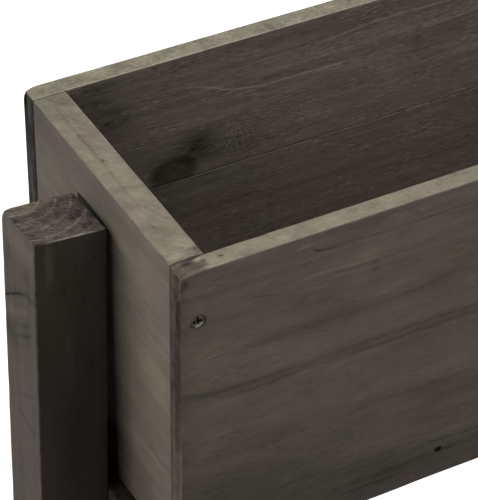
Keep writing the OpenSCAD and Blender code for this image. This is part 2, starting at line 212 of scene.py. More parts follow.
class Net:
    """Adds nodes to one tree and joins them."""

    def __init__(self, tree):
        self.tree = tree
        tree.nodes.clear()

    def node(self, kind, inputs=None, **settings):
        made = self.tree.nodes.new(kind)
        for key, value in settings.items():
            setattr(made, key, value)
        for key, value in (inputs or {}).items():
            self.feed(made.inputs[key], value)
        return made

    def feed(self, socket, value):
        if isinstance(value, Num):
            value = value.socket
        if isinstance(value, bpy.types.NodeSocket):
            self.tree.links.new(value, socket)
        else:
            socket.default_value = value

    def math(self, operation, *values):
        made = self.node("ShaderNodeMath", operation=operation)
        for socket, value in zip(made.inputs, values):
            self.feed(socket, value)
        return Num(self, made.outputs[0])

    def noise(self, x, y, z, detail=2.0, roughness=0.5):
        """Noise with one unit per feature along each of the three numbers. It lies about 0."""
        place = self.node("ShaderNodeCombineXYZ", {0: x, 1: y, 2: z})
        made = self.node("ShaderNodeTexNoise", {"Vector": place.outputs[0], "Scale": 1.0, "Detail": detail,
                                                "Roughness": roughness})
        return Num(self, made.outputs[0]) - 0.5

    def random(self, value):
        """A random number from 0 to 1 for each value."""
        made = self.node("ShaderNodeTexWhiteNoise", {"W": value}, noise_dimensions="1D")
        return Num(self, made.outputs["Value"])

    def place(self):
        """The point's x, y and z in millimetres."""
        made = self.node("ShaderNodeTexCoord")
        parts = self.node("ShaderNodeSeparateXYZ", {0: made.outputs["Object"]})
        return [Num(self, output) * (1 / MM) for output in parts.outputs]

    def facing(self):
        """How far the surface faces along x, y and z."""
        made = self.node("ShaderNodeNewGeometry")
        parts = self.node("ShaderNodeSeparateXYZ", {0: made.outputs["Normal"]})
        return [Num(self, output) for output in parts.outputs]

    def attribute(self, name):
        made = self.node("ShaderNodeAttribute", attribute_name=name)
        return Num(self, made.outputs["Fac"])

    def seen_by_camera(self):
        """1 for what the camera, gloss and glass see, and 0 for the light on other surfaces."""
        rays = self.node("ShaderNodeLightPath").outputs
        seen = self.math("MAXIMUM", rays["Is Camera Ray"], rays["Is Glossy Ray"])
        return seen.do("MAXIMUM", rays["Is Transmission Ray"])

    def curve(self, value, points):
        """A smooth curve of value through (value, result) points, level past both ends."""
        xs, ys = [p[0] for p in points], [p[1] for p in points]
        x_span, y_low = xs[-1] - xs[0], min(ys)
        y_span = max(max(ys) - y_low, 1e-6)
        made = self.node("ShaderNodeFloatCurve", {"Value": (value - xs[0]) / x_span})
        bent = made.mapping.curves[0]
        while len(bent.points) < len(points):
            bent.points.new(0.5, 0.5)
        for point, x, y in zip(bent.points, xs, ys):
            point.location = ((x - xs[0]) / x_span, (y - y_low) / y_span)
            point.handle_type = "AUTO_CLAMPED"
        made.mapping.extend = "HORIZONTAL"
        made.mapping.update()
        return Num(self, made.outputs[0]) * y_span + y_low

    def ramp(self, value, *stops):
        """The colour at value, from (place, colour) stops."""
        made = self.node("ShaderNodeValToRGB", {"Fac": value})
        elements = made.color_ramp.elements
        while len(elements) < len(stops):
            elements.new(0.5)
        for element, (place, colour) in zip(elements, stops):
            element.position = place
            element.color = (*colour, 1)
        return made.outputs[0]

    def mix(self, share, first, second, blend="MIX"):
        made = self.node("ShaderNodeMix", data_type="RGBA", blend_type=blend)
        for socket, value in zip((made.inputs[0], made.inputs[6], made.inputs[7]), (share, first, second)):
            self.feed(socket, value)
        return made.outputs[2]

    def multiply(self, first, second):
        return self.mix(1.0, first, second, "MULTIPLY")


def new_material(name):
    material = bpy.data.materials.new(name)
    material.use_nodes = True
    return material, Net(material.node_tree)


# Wood tones, from dark to light, and the tints of its hue, from reddish to greenish
FACE_TONES = (
    (0.0, (0.003, 0.0022, 0.001)), (0.1, (0.011, 0.009, 0.0068)), (0.25, (0.045, 0.037, 0.031)),
    (0.5, (0.105, 0.087, 0.073)), (0.75, (0.175, 0.148, 0.122)), (1.0, (0.30, 0.265, 0.21)),
)
EDGE_TONES = (
    (0.0, (0.014, 0.011, 0.008)), (0.14, (0.095, 0.083, 0.064)), (0.5, (0.235, 0.213, 0.158)),
    (1.0, (0.42, 0.39, 0.31)),
)
DOWEL_TONES = ((0.0, (0.35, 0.22, 0.11)), (1.0, (0.62, 0.45, 0.27)))
TINTS = ((0.0, (1.06, 0.95, 1.02)), (0.5, (1.0, 1.0, 1.0)), (1.0, (0.96, 1.03, 0.86)))
HUE_SHARE = 0.28

# A wood's settings where its own say nothing. level is its tone, seed moves its noise, spacing is that of
# the growth rings, and the others up to hues are strengths. Marks show on mark_side only, as (axis, sign).
WOOD = {
    "level": 0.5, "seed": 0.0, "spacing": 8.0, "warp": 5.0, "rings": 0.05, "fibres": 0.12, "dashes": 0.10,
    "streaks": 0.14, "blotches": 0.14, "hues": 0.5, "marks": (), "mark_side": None, "patches": (),
    "knots": (), "swirls": (), "side_patches": (), "side_levels": (), "end_level": -0.14, "end_rings": 0.0,
    "end_pitch": None, "heart": None, "pores": 0.0, "rim": None, "wear_level": 0.14, "bump": 0.5,
    "tones": FACE_TONES,
}


def gather(terms):
    """The sum of some numbers, or nothing where there are none."""
    total = None
    for term in terms:
        total = term if total is None else total + term
    return total


def line(width, *points, **kind):
    """A mark along the grain, or across it if turned, through points of (along, across, strength).
    A steady one doesn't wander with the grain."""
    return {"width": width, "points": points, **kind}


def shade(soft, *points, **kind):
    """A mark on all that lies past its line, which is this soft."""
    return {"soft": soft, "points": points, **kind}


def mark_tone(net, along, across, mark):
    """What one mark adds to the tone."""
    if mark.get("turned"):
        along, across = across, along
    points = mark["points"]
    middle = net.curve(along, [(p[0], p[1]) for p in points])
    strength = net.curve(along, [(p[0], p[2]) for p in points])
    if "soft" in mark:
        return (across - middle).step(-mark["soft"], mark["soft"]) * strength
    return (across - middle).bell(mark["width"]) * strength


def blob(along, across, a, c, long, wide, power=1):
    """1 in the middle of an oval, falling away towards its edge. A high power has a sharp edge."""
    u, v = (along - a) / long, (across - c) / wide
    far = u * u + v * v
    if power > 1:
        far = far.do("POWER", power)
    return (-far).do("EXPONENT")


def swirl_tone(net, along, across, a, c, long, wide, from_a, from_c, pitch, strength):
    """Fine curly grain in an oval about (a, c), bent round the knot at (from_a, from_c)."""
    u, v = along - from_a, (across - from_c) * 1.6
    turn = (u * u + v * v).do("SQRT") / pitch + net.noise(along / 6, across / 4, 0.0, 3.0, 0.6) * 3.4
    broken = net.noise(along / 4 + 9, across / 2.5, 0.0, 3.0) * 4 + 0.8
    wave = ((turn.do("FRACT") - 0.5).do("ABSOLUTE") - 0.25) * 4 * broken
    return wave * blob(along, across, a, c, long, wide, 2) * strength


def start_wood(net, frame_of, settings):
    """The settings of a wood with its place in the board and the noises that several parts of it share."""
    w = SimpleNamespace(net=net, **{**WOOD, **settings})
    w.x, w.y, w.z = net.place()
    w.along, w.across, w.through = frame_of(w.x, w.y, w.z)
    w.faces = net.facing()
    w.order = frame_of(0, 1, 2, bare=True)
    w.end = frame_of(*w.faces, bare=True)[0].do("ABSOLUTE").step(0.55, 0.85)
    w.face = 1 - w.end
    along, across, through, seed = w.along, w.across, w.through, w.seed
    w.slow = net.noise(along / 150 + seed, across / 50, through / 50, 2.0)
    w.slower = net.noise(along / 60, across / 24 + seed, through / 24, 2.0)
    w.blotch = net.noise(along / 48, across / 20 + seed, through / 20, 4.0, 0.6)
    w.fine = net.noise(along / 20, across / 0.9, through / 0.9 + seed, 3.0, 0.6)
    w.streaky = net.noise(along / 90 + seed, across / 4.5, through / 4.5, 3.0, 0.6)
    return w


def facing(w, axis, sign):
    """1 where the surface faces along the axis in this sense."""
    return (w.faces[axis] * sign).step(0.5, 0.8)


def add_growth(w):
    """Growth rings, which knots push aside: the radius, the part of a ring and its dark late wood."""
    radius = ((w.across - w.pith[0] + w.slow * w.warp * 2).do("POWER", 2)
              + (w.through - w.pith[1] + w.slower * w.warp).do("POWER", 2)).do("SQRT")
    pushed = gather([blob(w.along, w.across, *knot[:4]) * knot[4] for knot in w.knots])
    w.radius = radius if pushed is None else radius + pushed
    shift = w.net.noise(w.along / 20, w.across / 5, w.through / 5 + w.seed, 2.0) * 0.22
    turn = w.radius / w.spacing + shift
    w.part = turn.do("FRACT")
    depth = w.net.random(turn.do("FLOOR") + w.seed) * 0.9 + 0.25
    w.late = w.part.step(0.2, 0.9) * (1 - w.part.step(0.92, 1.0)) * depth


def add_dashes(w):
    """Short dashes along the grain, in groups."""
    dash = w.net.noise(w.along / 6 + w.seed, (w.across + w.slower * 6) / 0.8, w.through / 0.8, 2.0, 0.6)
    group = w.net.noise(w.along / 40, w.across / 10, w.through / 10 + w.seed, 2.0) * 3 + 0.7
    w.group = group.do("MAXIMUM", 0.15)
    w.dash = dash.step(0.03, 0.22) - (-dash).step(0.03, 0.22)


def texture_tone(w):
    """Dashes, fibres, streaks and blotches, calmer on knots and on the sides that say so."""
    texture = (w.dash * w.group * w.dashes * w.face + w.fine * w.fibres + w.streaky * w.streaks
               + w.blotch * w.blotches)
    calm = [blob(w.along, w.across, *knot[:4], 3) * 0.75 for knot in w.knots]
    calm += [facing(w, axis, sign) * share for axis, sign, amount, share in w.side_levels if share]
    return texture * (1 - gather(calm)) if calm else texture


def add_changes(w):
    """Marks, patches, knots and swirls, and how far the patches shift the hue. Each patch is
    (along, across, half length, half width, tone, hue)."""
    w.shown = w.face
    if w.mark_side:
        w.shown = w.face * facing(w, *w.mark_side)
    wander_a, wander_c = w.along + w.blotch * 10, w.across + w.slower * 5
    changes = []
    for mark in w.marks:
        steady = mark.get("steady")
        along = w.along if steady else w.along + w.blotch * 8
        across = w.across if steady else w.across + w.slower * 2.4
        changes.append(mark_tone(w.net, along, across, mark))
    changes += [blob(wander_a, wander_c, *patch[:4]) * patch[4] for patch in w.patches]
    changes += [blob(w.along, w.across, *knot[:4], 4) * -knot[5] for knot in w.knots]
    changes += [swirl_tone(w.net, wander_a, wander_c, *swirl) for swirl in w.swirls]
    w.changed = gather(changes)
    hues = [blob(wander_a, wander_c, *patch[:4]) * (patch[5] * HUE_SHARE) for patch in w.patches]
    w.shifted = gather(hues)


def add_side_changes(w):
    """Marks and patches on single sides, in the two directions of the side's face."""
    wobble = w.net.noise(w.along / 5 + 3, w.across / 5, w.through / 5, 2.0) * 2.2
    tones, hues = [], []
    for axis, sign, spots in w.side_patches:
        here = facing(w, axis, sign)
        first, second = [value for value, own in zip((w.along, w.across, w.through), w.order) if own != axis]
        first = first + w.blotch * 3
        for spot in spots:
            if isinstance(spot, dict):
                tones.append(mark_tone(w.net, first, second + wobble * 0.4, spot) * here)
                continue
            shape = blob(first, second + wobble * 0.7, *spot[:4], 2) * here
            tones.append(shape * spot[4])
            hues.append(shape * (spot[5] * HUE_SHARE))
    w.side_tone, w.side_hue = gather(tones), gather(hues)


def end_tones(w):
    """What the end grain adds: its level, rings, mottle, heart and pores."""
    net, seed = w.net, w.seed
    tones = [w.end * w.end_level]
    if w.end_rings:
        broken = net.noise(w.across / 4, w.through / 4, w.along / 30 + seed, 2.0) * 2 + 0.95
        broken = broken.do("MAXIMUM", 0.3)
        ring, thin = w.part, 0.085
        if w.end_pitch:
            bend = net.noise(w.across / 26, w.through / 9, seed, 3.0) * 7
            ring, thin = ((w.through + bend) / w.end_pitch).do("FRACT"), 0.22
        tones.append(((ring - 0.5).do("ABSOLUTE") - 0.5).bell(thin) * broken * w.end * w.end_rings)
        mottle = net.noise(w.across / 3.5 + seed, w.through / 2.0, w.along / 30, 3.0, 0.6)
        tones.append(mottle * w.end * w.end_rings)
    if w.heart:
        heart_radius, amount = w.heart
        tones.append((1 - w.radius.step(heart_radius - 0.8, heart_radius + 0.8)) * w.end * amount)
    if w.pores:
        cut = net.noise((w.through * 0.89 - w.across * 0.46) / 3.6 + seed,
                        (w.through * 0.46 + w.across * 0.89) / 1.15, w.along / 30, 3.0, 0.6)
        soft = net.noise(w.through / 13, w.across / 9 + seed, w.along / 30, 2.0)
        pores = (-cut).step(0.06, 0.22) * 0.35 - cut.step(0.04, 0.18) + soft * 0.8
        tones.append(pores * w.end * w.pores)
    return tones


def wood_tone(w):
    """How light the wood is, from 0 to 1, as the sum of all its parts."""
    tone = (0.35 - w.late) * w.rings + texture_tone(w) + w.level
    if w.changed is not None:
        tone = tone + w.changed * w.shown
    if w.side_tone is not None:
        tone = tone + w.side_tone
    for axis, sign, amount, share in w.side_levels:
        tone = tone + facing(w, axis, sign) * amount
    for term in end_tones(w):
        tone = tone + term
    rough = w.net.noise(w.x / 7, w.y / 7, w.z / 7, 3.0) * 2.6 + 0.55
    tone = tone + w.net.attribute("wear") * rough.step(0.1, 1.0) * w.wear_level
    # Painted shade: the wood is darker in its dents.
    return tone - w.net.attribute("dent") * 0.10


def wood_hue(w):
    """Reddish at 0 and greenish at 1."""
    patchy = w.net.noise(w.along / 34 + 5, w.across / 17 + w.seed, w.through / 17, 4.0, 0.6)
    hue = patchy * w.hues * 2.0 + 0.45
    if w.shifted is not None:
        hue = hue + w.shifted * w.shown
    return hue if w.side_hue is None else hue + w.side_hue


def rim_colour(w, colour):
    """The paler upper edges over the colour of the rest, partly bare sawn wood and partly painted light."""
    net, rim, up = w.net, w.rim, w.faces[2].step(0.6, 0.9)
    if "start" in rim:
        ragged = net.noise(w.x / 8, w.y / 5, w.z / 9 + 7, 3.0) * 12
        up = up * (w.x + (HALF_LENGTH - rim["start"]) + ragged).step(-2.0, 2.0)
    speckle = net.noise(w.x / 2.4 + w.seed, w.y / 2.0, w.z / 3, 3.0, 0.7)
    stroke = net.noise((w.x + w.y) / 3.0, (w.x - w.y) / 9 + w.seed, w.z / 9, 3.0, 0.6)
    cloud = net.noise(w.x / 16, w.y / 11, w.z / 16 + w.seed, 4.0, 0.6)
    tone = (cloud * rim.get("cloud", 0.55) + stroke * 0.36 + speckle * rim.get("speckle", 0.25)
            + w.fine * 0.10 + rim["level"])
    for mark in rim.get("marks", ()):
        tone = tone + mark_tone(net, w.along, w.through, mark)
    # Painted shade: the rim is darker in its dents.
    tone = tone - net.attribute("dent") * 0.07
    if w.side_tone is not None:
        tone = tone + w.side_tone
    return net.mix(up, colour, net.ramp(tone, *EDGE_TONES))


def make_wood(name, frame_of, **settings):
    """Stained wood. frame_of turns the point into (along the grain, across, through), and pith is the
    (across, through) place of the middle of the tree. Marks, patches and knots are in that frame."""
    material, net = new_material(name)
    w = start_wood(net, frame_of, settings)
    add_growth(w)
    add_dashes(w)
    add_changes(w)
    add_side_changes(w)
    tone = wood_tone(w)
    colour = net.ramp(tone, *w.tones)
    if w.rim:
        colour = rim_colour(w, colour)
    colour = net.multiply(colour, net.ramp(wood_hue(w), *TINTS))
    height = w.fine * 0.5 + w.dash * w.group * 0.25 + w.streaky * 0.5 - w.late * 0.15
    height = height + net.noise(w.along / 5, w.across / 0.5, w.through / 0.5, 2.0) * 0.4
    relief = net.node("ShaderNodeBump", {"Strength": w.bump, "Distance": 0.3 * MM, "Height": height})
    shader = net.node("ShaderNodeBsdfPrincipled", {
        "Base Color": colour, "Roughness": w.fine * 0.25 + w.blotch * 0.2 + 0.72,
        "Specular IOR Level": tone.step(-0.15, 0.08) * 0.08, "Normal": relief.outputs[0]})
    net.node("ShaderNodeOutputMaterial", {"Surface": shader.outputs[0]})
    return material


def make_steel(name, colour, roughness, shine=None):
    """Dull plated steel with fine scratches and dark dirt, and a painted highlight in its own colour."""
    material, net = new_material(name)
    x, y, z = net.place()
    scratch = net.noise(x / 0.25, y / 0.25, z / 2.5, 2.0)
    dirt = net.noise(x / 2.2, y / 2.2, z / 2.2, 3.0)
    dark, light = tuple(c * 0.35 for c in colour), tuple(min(1, c * 1.5) for c in colour)
    paint = net.ramp(scratch * 0.3 + dirt * 1.1 + 0.5, (0.1, dark), (0.55, colour), (1.0, light))
    if shine:
        # Painted highlight on the low side of screw heads
        paint = net.mix(net.attribute("shine").step(0.45, 0.8), paint, (*shine, 1))
    bump = net.node("ShaderNodeBump", {"Strength": 0.3, "Distance": 0.05 * MM, "Height": scratch + dirt})
    shader = net.node("ShaderNodeBsdfPrincipled", {
        "Base Color": paint, "Metallic": 0.9, "Roughness": dirt * 0.4 + roughness, "Normal": bump.outputs[0]})
    net.node("ShaderNodeOutputMaterial", {"Surface": shader.outputs[0]})
    return material


def make_rubber(name):
    """Black rubber, dusty on its high spots."""
    material, net = new_material(name)
    x, y, z = net.place()
    grain = net.noise(x / 0.4, y / 0.4, z / 0.4, 2.0)
    dust = net.noise(x / 6, y / 6, z / 3, 4.0)
    dusty = dust * 1.2 + grain * 0.3 + 0.5
    paint = net.ramp(dusty, (0.3, (0.012, 0.012, 0.012)), (0.9, (0.05, 0.048, 0.045)))
    bump = net.node("ShaderNodeBump", {"Strength": 0.4, "Distance": 0.1 * MM, "Height": grain})
    shader = net.node("ShaderNodeBsdfPrincipled", {
        "Base Color": paint, "Roughness": dust * 0.3 + 0.75, "Normal": bump.outputs[0]})
    net.node("ShaderNodeOutputMaterial", {"Surface": shader.outputs[0]})
    return material


# Meshes

def make_object(name, mesh, material):
    mesh.materials.clear()
    mesh.materials.append(material)
    mesh.shade_smooth()
    mesh.set_sharp_from_angle(angle=SHARP_ANGLE)
    made = bpy.data.objects.new(name, mesh)
    bpy.context.scene.collection.objects.link(made)
    return made


def mesh_of(points, faces, **attributes):
    mesh = bpy.data.meshes.new("mesh")
    mesh.from_pydata([tuple(p) for p in points], [], faces)
    for name, values in attributes.items():
        mesh.attributes.new(name, "FLOAT", "POINT").data.foreach_set("value", np.asarray(values, np.float32))
    shape = bmesh.new()
    shape.from_mesh(mesh)
    bmesh.ops.recalc_face_normals(shape, faces=shape.faces)
    shape.to_mesh(mesh)
    shape.free()
    return mesh


def dress(piece, node):
    """Puts a piece on the frame in place of the node."""
    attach(piece, "root")
    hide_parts(node)


def cut_away(mesh, cutter):
    """The mesh less the cutter's closed shapes."""
    host = bpy.data.objects.new("host", mesh)
    tool = bpy.data.objects.new("tool", cutter)
    for made in (host, tool):
        bpy.context.scene.collection.objects.link(made)
    cut = host.modifiers.new("cut", "BOOLEAN")
    cut.operation, cut.solver, cut.object = "DIFFERENCE", "EXACT", tool
    graph = bpy.context.evaluated_depsgraph_get()
    result = bpy.data.meshes.new_from_object(host.evaluated_get(graph))
    for made in (host, tool):
        bpy.data.objects.remove(made)
    return result


def tube_faces(count, rows):
    """The faces that join this many rows of count points, with both ends closed."""
    faces = [list(range(count)), list(range(count * (rows - 1), count * rows))]
    for start in range(0, count * (rows - 1), count):
        for k in range(count):
            after = (k + 1) % count
            faces.append([start + k, start + after, start + count + after, start + count + k])
    return faces


def spread(half, fine, coarse):
    """Places from -half to half that lie closer together towards both ends."""
    left, far, step = [], 0.0, fine
    while far < half:
        left.append(far - half)
        far += step
        step = min(step * OUTLINE_GROWTH, coarse)
    return np.array(left + [0.0] + [-place for place in reversed(left)])


def rounded_outline(half_a, half_b, radius, fine, pitch):
    """Points round a rounded rectangle, with their outward directions and 1 where they are on a corner."""
    places, outward, corner = [], [], []
    for k in range(4):
        angle = k * math.pi / 2
        ahead = np.array((math.cos(angle), math.sin(angle)))
        along = np.array((-ahead[1], ahead[0]))
        out, run = (half_a, half_b - radius) if k % 2 == 0 else (half_b, half_a - radius)
        for t in spread(run - GUARD, fine, pitch):
            places.append(ahead * out + along * t)
            outward.append(ahead)
            corner.append(0.0)
        for step in range(CORNER_STEPS + 1):
            turn = angle + step * math.pi / 2 / CORNER_STEPS
            way = np.array((math.cos(turn), math.sin(turn)))
            places.append(ahead * (out - radius) + along * run + way * radius)
            outward.append(way)
            corner.append(1.0 if 0 < step < CORNER_STEPS else NEAR_CORNER_EDGE)
    return np.array(places), np.array(outward), np.array(corner)


def bar_stations(half, ease, fine, coarse, extra=()):
    """Places along a bar from its middle, with how far its outline is drawn in, finer towards the ends."""
    rows = []
    for step in range(CORNER_STEPS + 1):
        turn = step * math.pi / 2 / CORNER_STEPS
        rows.append((ease * (1 - math.cos(turn)), ease * (1 - math.sin(turn))))
    far, step = ease + GUARD, fine
    while far < half:
        rows.append((far, 0.0))
        far += step
        step = min(step * ROW_GROWTH, coarse)
    rows.append((half, 0.0))
    rows += [(distance, 0.0) for distance in extra]
    rows.sort()
    left = [(distance - half, inset) for distance, inset in rows]
    return left + [(-place, inset) for place, inset in reversed(left[:-1])]


def waviness(point, size, shift=0):
    return noise.noise(Vector(point) / size + Vector((shift, shift * 1.7, -shift)))


def rubbed(point, edge, wear):
    """How far wear has taken an edge back here."""
    if not edge:
        return 0.0
    return wear * edge * (0.25 + max(0.0, waviness(point, 9 * MM) + 0.35 * waviness(point, 3 * MM)))


def bar_mesh(low, high, grain, radius, wear, fine=3 * MM, coarse=12 * MM, pitch=7 * MM, extra=()):
    """Bar of wood that fills the box from low to high, with rounded edges that are worn unevenly."""
    middle, half = (low + high) / 2, (high - low) / 2
    a, b = [axis for axis in range(3) if axis != grain]
    outline = list(zip(*rounded_outline(half[a], half[b], radius, min(fine, pitch), pitch)))
    rows = bar_stations(half[grain], radius * END_EASE, fine, coarse, extra)
    points, worn = [], []
    for place, inset in rows:
        at_end = inset > 0
        for (p, q), (n, m), on_corner in outline:
            point = np.array(middle)
            point[grain] += place
            point[a] += p
            point[b] += q
            edge = max(on_corner, END_EDGE if at_end else 0.0)
            dip = 0.0 if at_end else 0.10 * MM * (1 + waviness(point, 45 * MM, 3))
            inward = inset + rubbed(point, edge, wear) + dip
            point[a] -= n * inward
            point[b] -= m * inward
            points.append(point)
            worn.append(edge)
    return np.array(points), tube_faces(len(outline), len(rows)), np.array(worn)


# Fasteners

def spun(rows, sides, ring=False):
    """Solid of revolution about z. Each row is (radius, height), each a number or one value per side.
    A ring closes from its last row to its first, and otherwise the first and last rows are on the axis."""
    turns = np.arange(sides) * 2 * math.pi / sides
    points, loops = [], []
    for radius, height in rows:
        if np.max(radius) == 0:
            loops.append([len(points)])
            points.append((0.0, 0.0, float(np.max(height))))
            continue
        radius, height = np.broadcast_to(radius, sides), np.broadcast_to(height, sides)
        loops.append(list(range(len(points), len(points) + sides)))
        points += [(r * math.cos(t), r * math.sin(t), h) for r, h, t in zip(radius, height, turns)]
    pairs = list(zip(loops, loops[1:])) + ([(loops[-1], loops[0])] if ring else [])
    faces = []
    for first, second in pairs:
        for k in range(sides):
            after = (k + 1) % sides
            corners = (first[k % len(first)], first[after % len(first)],
                       second[after % len(second)], second[k % len(second)])
            faces.append(list(dict.fromkeys(corners)))
    return np.array(points), faces


def joined(shapes):
    """Several (points, faces) shapes as one."""
    points, faces, start = [], [], 0
    for some, sides in shapes:
        points.append(some)
        faces += [[index + start for index in face] for face in sides]
        start += len(some)
    return np.concatenate(points), faces


def placed(shape, place, way):
    """The shape moved to place, with its +z along way."""
    points, faces = shape
    turn = np.array(Vector(way).to_track_quat("Z", "Y").to_matrix())
    return points @ turn.T + np.array(place), faces


def from_mesh(mesh):
    points = np.array([tuple(v.co) for v in mesh.vertices])
    return points, [list(p.vertices) for p in mesh.polygons]


def shells(node):
    """The points of each separate solid of a CAD node."""
    shape = bmesh.new()
    shape.from_mesh(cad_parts[node].data)
    bmesh.ops.remove_doubles(shape, verts=shape.verts, dist=1e-6)
    left = set(shape.verts)
    found = []
    while left:
        todo, solid = [left.pop()], []
        while todo:
            vertex = todo.pop()
            solid.append(tuple(vertex.co))
            others = {edge.other_vert(vertex) for edge in vertex.link_edges} & left
            left -= others
            todo += others
        found.append(np.array(solid))
    shape.free()
    return sorted(found, key=lambda solid: tuple(np.round(solid.mean(0), 5)))


def headed(solid):
    """Where a screw or bolt has its head: (top of the head, direction from the tip to the head, length)."""
    low, high = solid.min(0), solid.max(0)
    axis = int(np.argmax(high - low))
    middle = (low + high) / 2
    length = high[axis] - low[axis]
    away = np.linalg.norm(np.delete(solid - middle, axis, 1), axis=1)
    near_high = solid[:, axis] > high[axis] - length * 0.35
    side = 1 if away[near_high].max() > away[~near_high].max() else -1
    way = np.zeros(3)
    way[axis] = side
    top = middle.copy()
    top[axis] = high[axis] if side > 0 else low[axis]
    return top, way, length


def based(solid, axis=0):
    """The middle of a solid's low face along the axis, and its height along it."""
    low, high = solid.min(0), solid.max(0)
    base = (low + high) / 2
    base[axis] = low[axis]
    return base, high[axis] - low[axis]


def cross_cutter(span, width, depth):
    """Tapered cross that cuts a screw's recess from z = 0 down."""
    s, w = span / 2, width / 2
    outline = ((s, -w), (s, w), (w, w), (w, s), (-w, s), (-w, w), (-s, w), (-s, -w), (-w, -w), (-w, -s),
               (w, -s), (w, -w))
    rows = ((1.08, 0.3 * MM), (1.0, 0.0), (0.8, -depth * 0.5), (0.35, -depth))
    points = np.array([(x * scale, y * scale, z) for scale, z in rows for x, y in outline])
    return mesh_of(points, tube_faces(len(outline), len(rows)))


def ridges(z, pitch, sides):
    """How far each side is up the thread at this depth, from 0 to 1."""
    return 1 - np.abs(((z / pitch + np.arange(sides) / sides) % 1) * 2 - 1)


def screw_shape(d, head_d, length):
    """Countersunk wood screw with its head's top at z = 0, a cross recess and a threaded shank below."""
    r, head_r = d / 2, head_d / 2
    head_h = head_r - r
    rim, dish, core = 0.25 * MM, 0.35 * MM, 0.72
    pitch = d * 0.45
    start, end = head_h + length * 0.3, length - d
    rows = [(0, -dish), (head_r * 0.66, -dish), (head_r - rim, 0), (head_r, -rim), (r, -head_h - 0.1 * MM),
            (r, -start)]
    for z in np.arange(start + pitch / 4, end, pitch / 4):
        rows.append((r * (core + 0.28 * ridges(z, pitch, SCREW_SIDES)), -z))
    rows += [(r * core, -end), (r * 0.3, -length + r * 0.3), (0, -length)]
    plain = mesh_of(*spun(rows, SCREW_SIDES))
    return from_mesh(cut_away(plain, cross_cutter(head_d * 0.76, head_d * 0.25, head_h * 0.95)))


def screw_hole(d, head_d, length):
    """What a wood screw cuts out of the wood, with a way in above its head."""
    r, head_r = d / 2 + HOLE_CLEAR, head_d / 2 + HEAD_CLEAR
    rows = [(0, HOLE_OVER), (head_r, HOLE_OVER), (head_r, 0), (r, r - head_r), (r, -length),
            (0, -length - r * 0.5)]
    return spun(rows, SCREW_SIDES)


def rod_hole(r, start, end):
    return spun([(0, start), (r, start), (r, end), (0, end)], SCREW_SIDES)


def thread_rows(r, length, sides, stretch):
    """The lower rows of a bolt: its thread on this last stretch, and its tip."""
    rows = [(r, -length + stretch)]
    for z in np.arange(length - (stretch - 0.5 * MM), length - 1 * MM, THREAD_PITCH / 4):
        rows.append((r - THREAD_DEPTH * (1 - ridges(z, THREAD_PITCH, sides)), -z))
    return rows + [(r - THREAD_DEPTH, -length + 0.5 * MM), (r - THREAD_DEPTH * 1.6, -length), (0, -length)]


def domed_bolt(solid):
    """Carriage bolt in a solid's place, with a square neck's room under its domed head."""
    top, way, length = headed(solid)
    r, head_r = BOLT_D / 2, DOME_D / 2
    cap = (head_r ** 2 + DOME_H ** 2) / (2 * DOME_H)
    brim, neck_r = 0.5 * MM, r * 1.36
    rows = [(0, 0)]
    for t in np.linspace(0, math.acos((cap - DOME_H + brim) / cap), 9)[1:]:
        rows.append((cap * math.sin(t), cap * math.cos(t) - cap))
    rows += [(head_r, -DOME_H + brim * 0.5), (head_r - brim * 0.4, -DOME_H), (neck_r, -DOME_H),
             (neck_r, -DOME_H - NECK_H), (r, -DOME_H - NECK_H)]
    rows += thread_rows(r, length, BOLT_SIDES, 22 * MM)
    return placed(spun(rows, BOLT_SIDES), top, way)


def hex_radius():
    turns = np.arange(HEX_SIDES) * 2 * math.pi / HEX_SIDES
    return HEX_WIDTH / 2 / np.cos((turns % (math.pi / 3)) - math.pi / 6)


def hex_bolt(solid):
    """Hexagon bolt in a solid's place."""
    top, way, length = headed(solid)
    outer, disc, r = hex_radius(), HEX_WIDTH / 2 * 0.97, BOLT_D / 2
    slope = (outer - disc) * CHAMFER_SLOPE
    dish = 0.3 * MM
    rows = [(0, -dish), (disc * 0.7, -dish), (disc * 0.78, 0), (disc, 0), (outer, -slope),
            (outer, -HEX_HEAD_H), (r, -HEX_HEAD_H)]
    rows += thread_rows(r, length, HEX_SIDES, 26 * MM)
    return placed(spun(rows, HEX_SIDES), top, way)


def nut(solid):
    """Hexagon nut in a solid's place, with chamfered corners and bore."""
    base, height = based(solid)
    outer, disc, r, e = hex_radius(), HEX_WIDTH / 2 * 0.985, NUT_BORE / 2, 0.7 * MM
    slope = (outer - disc) * CHAMFER_SLOPE
    rows = [(r + e, 0), (disc, 0), (outer, slope), (outer, height - slope), (disc, height), (r + e, height),
            (r, height - e), (r, e)]
    return placed(spun(rows, HEX_SIDES, ring=True), base, (1, 0, 0))


def washer(solid):
    """Flat washer in a solid's place, with its edges broken."""
    base, height = based(solid)
    outer, r, e = WASHER_D / 2, WASHER_BORE / 2, 0.3 * MM
    rows = [(r + e, 0), (outer - e, 0), (outer, e), (outer, height - e), (outer - e, height), (r + e, height),
            (r, height - e), (r, e)]
    return placed(spun(rows, HEX_SIDES, ring=True), base, (1, 0, 0))


def foot_pad(solid):
    """Foot pad in a solid's place, with a rounded rim and a wider bore for the screw's head below."""
    base, height = based(solid, 2)
    outer, r, e = PAD_D / 2, PAD_BORE / 2, 1.0 * MM
    room, cut = r + PAD_HEAD_ROOM, e * 0.3
    rows = [(room, 0), (outer - e, 0), (outer - cut, cut), (outer, e), (outer, height - e),
            (outer - cut, height - cut), (outer - e, height), (r, height), (r, height * 0.5),
            (room, height * 0.5)]
    return placed(spun(rows, HEX_SIDES, ring=True), base, (0, 0, 1))


# The frames of the boards, for materials

def wall_frame(x, y, z, bare=False):
    """Walls: along from the left end, across as depth below the rim, through the thickness."""
    return (x, z, y) if bare else (x + HALF_LENGTH, RIM - z, y)


def end_frame(x, y, z, bare=False):
    """End boards: along from the back wall's face to the front one's, across as depth below the rim."""
    return (y, z, x) if bare else (HALF_WIDTH - y, RIM - z, x + (RIM - z) * -LEAN)


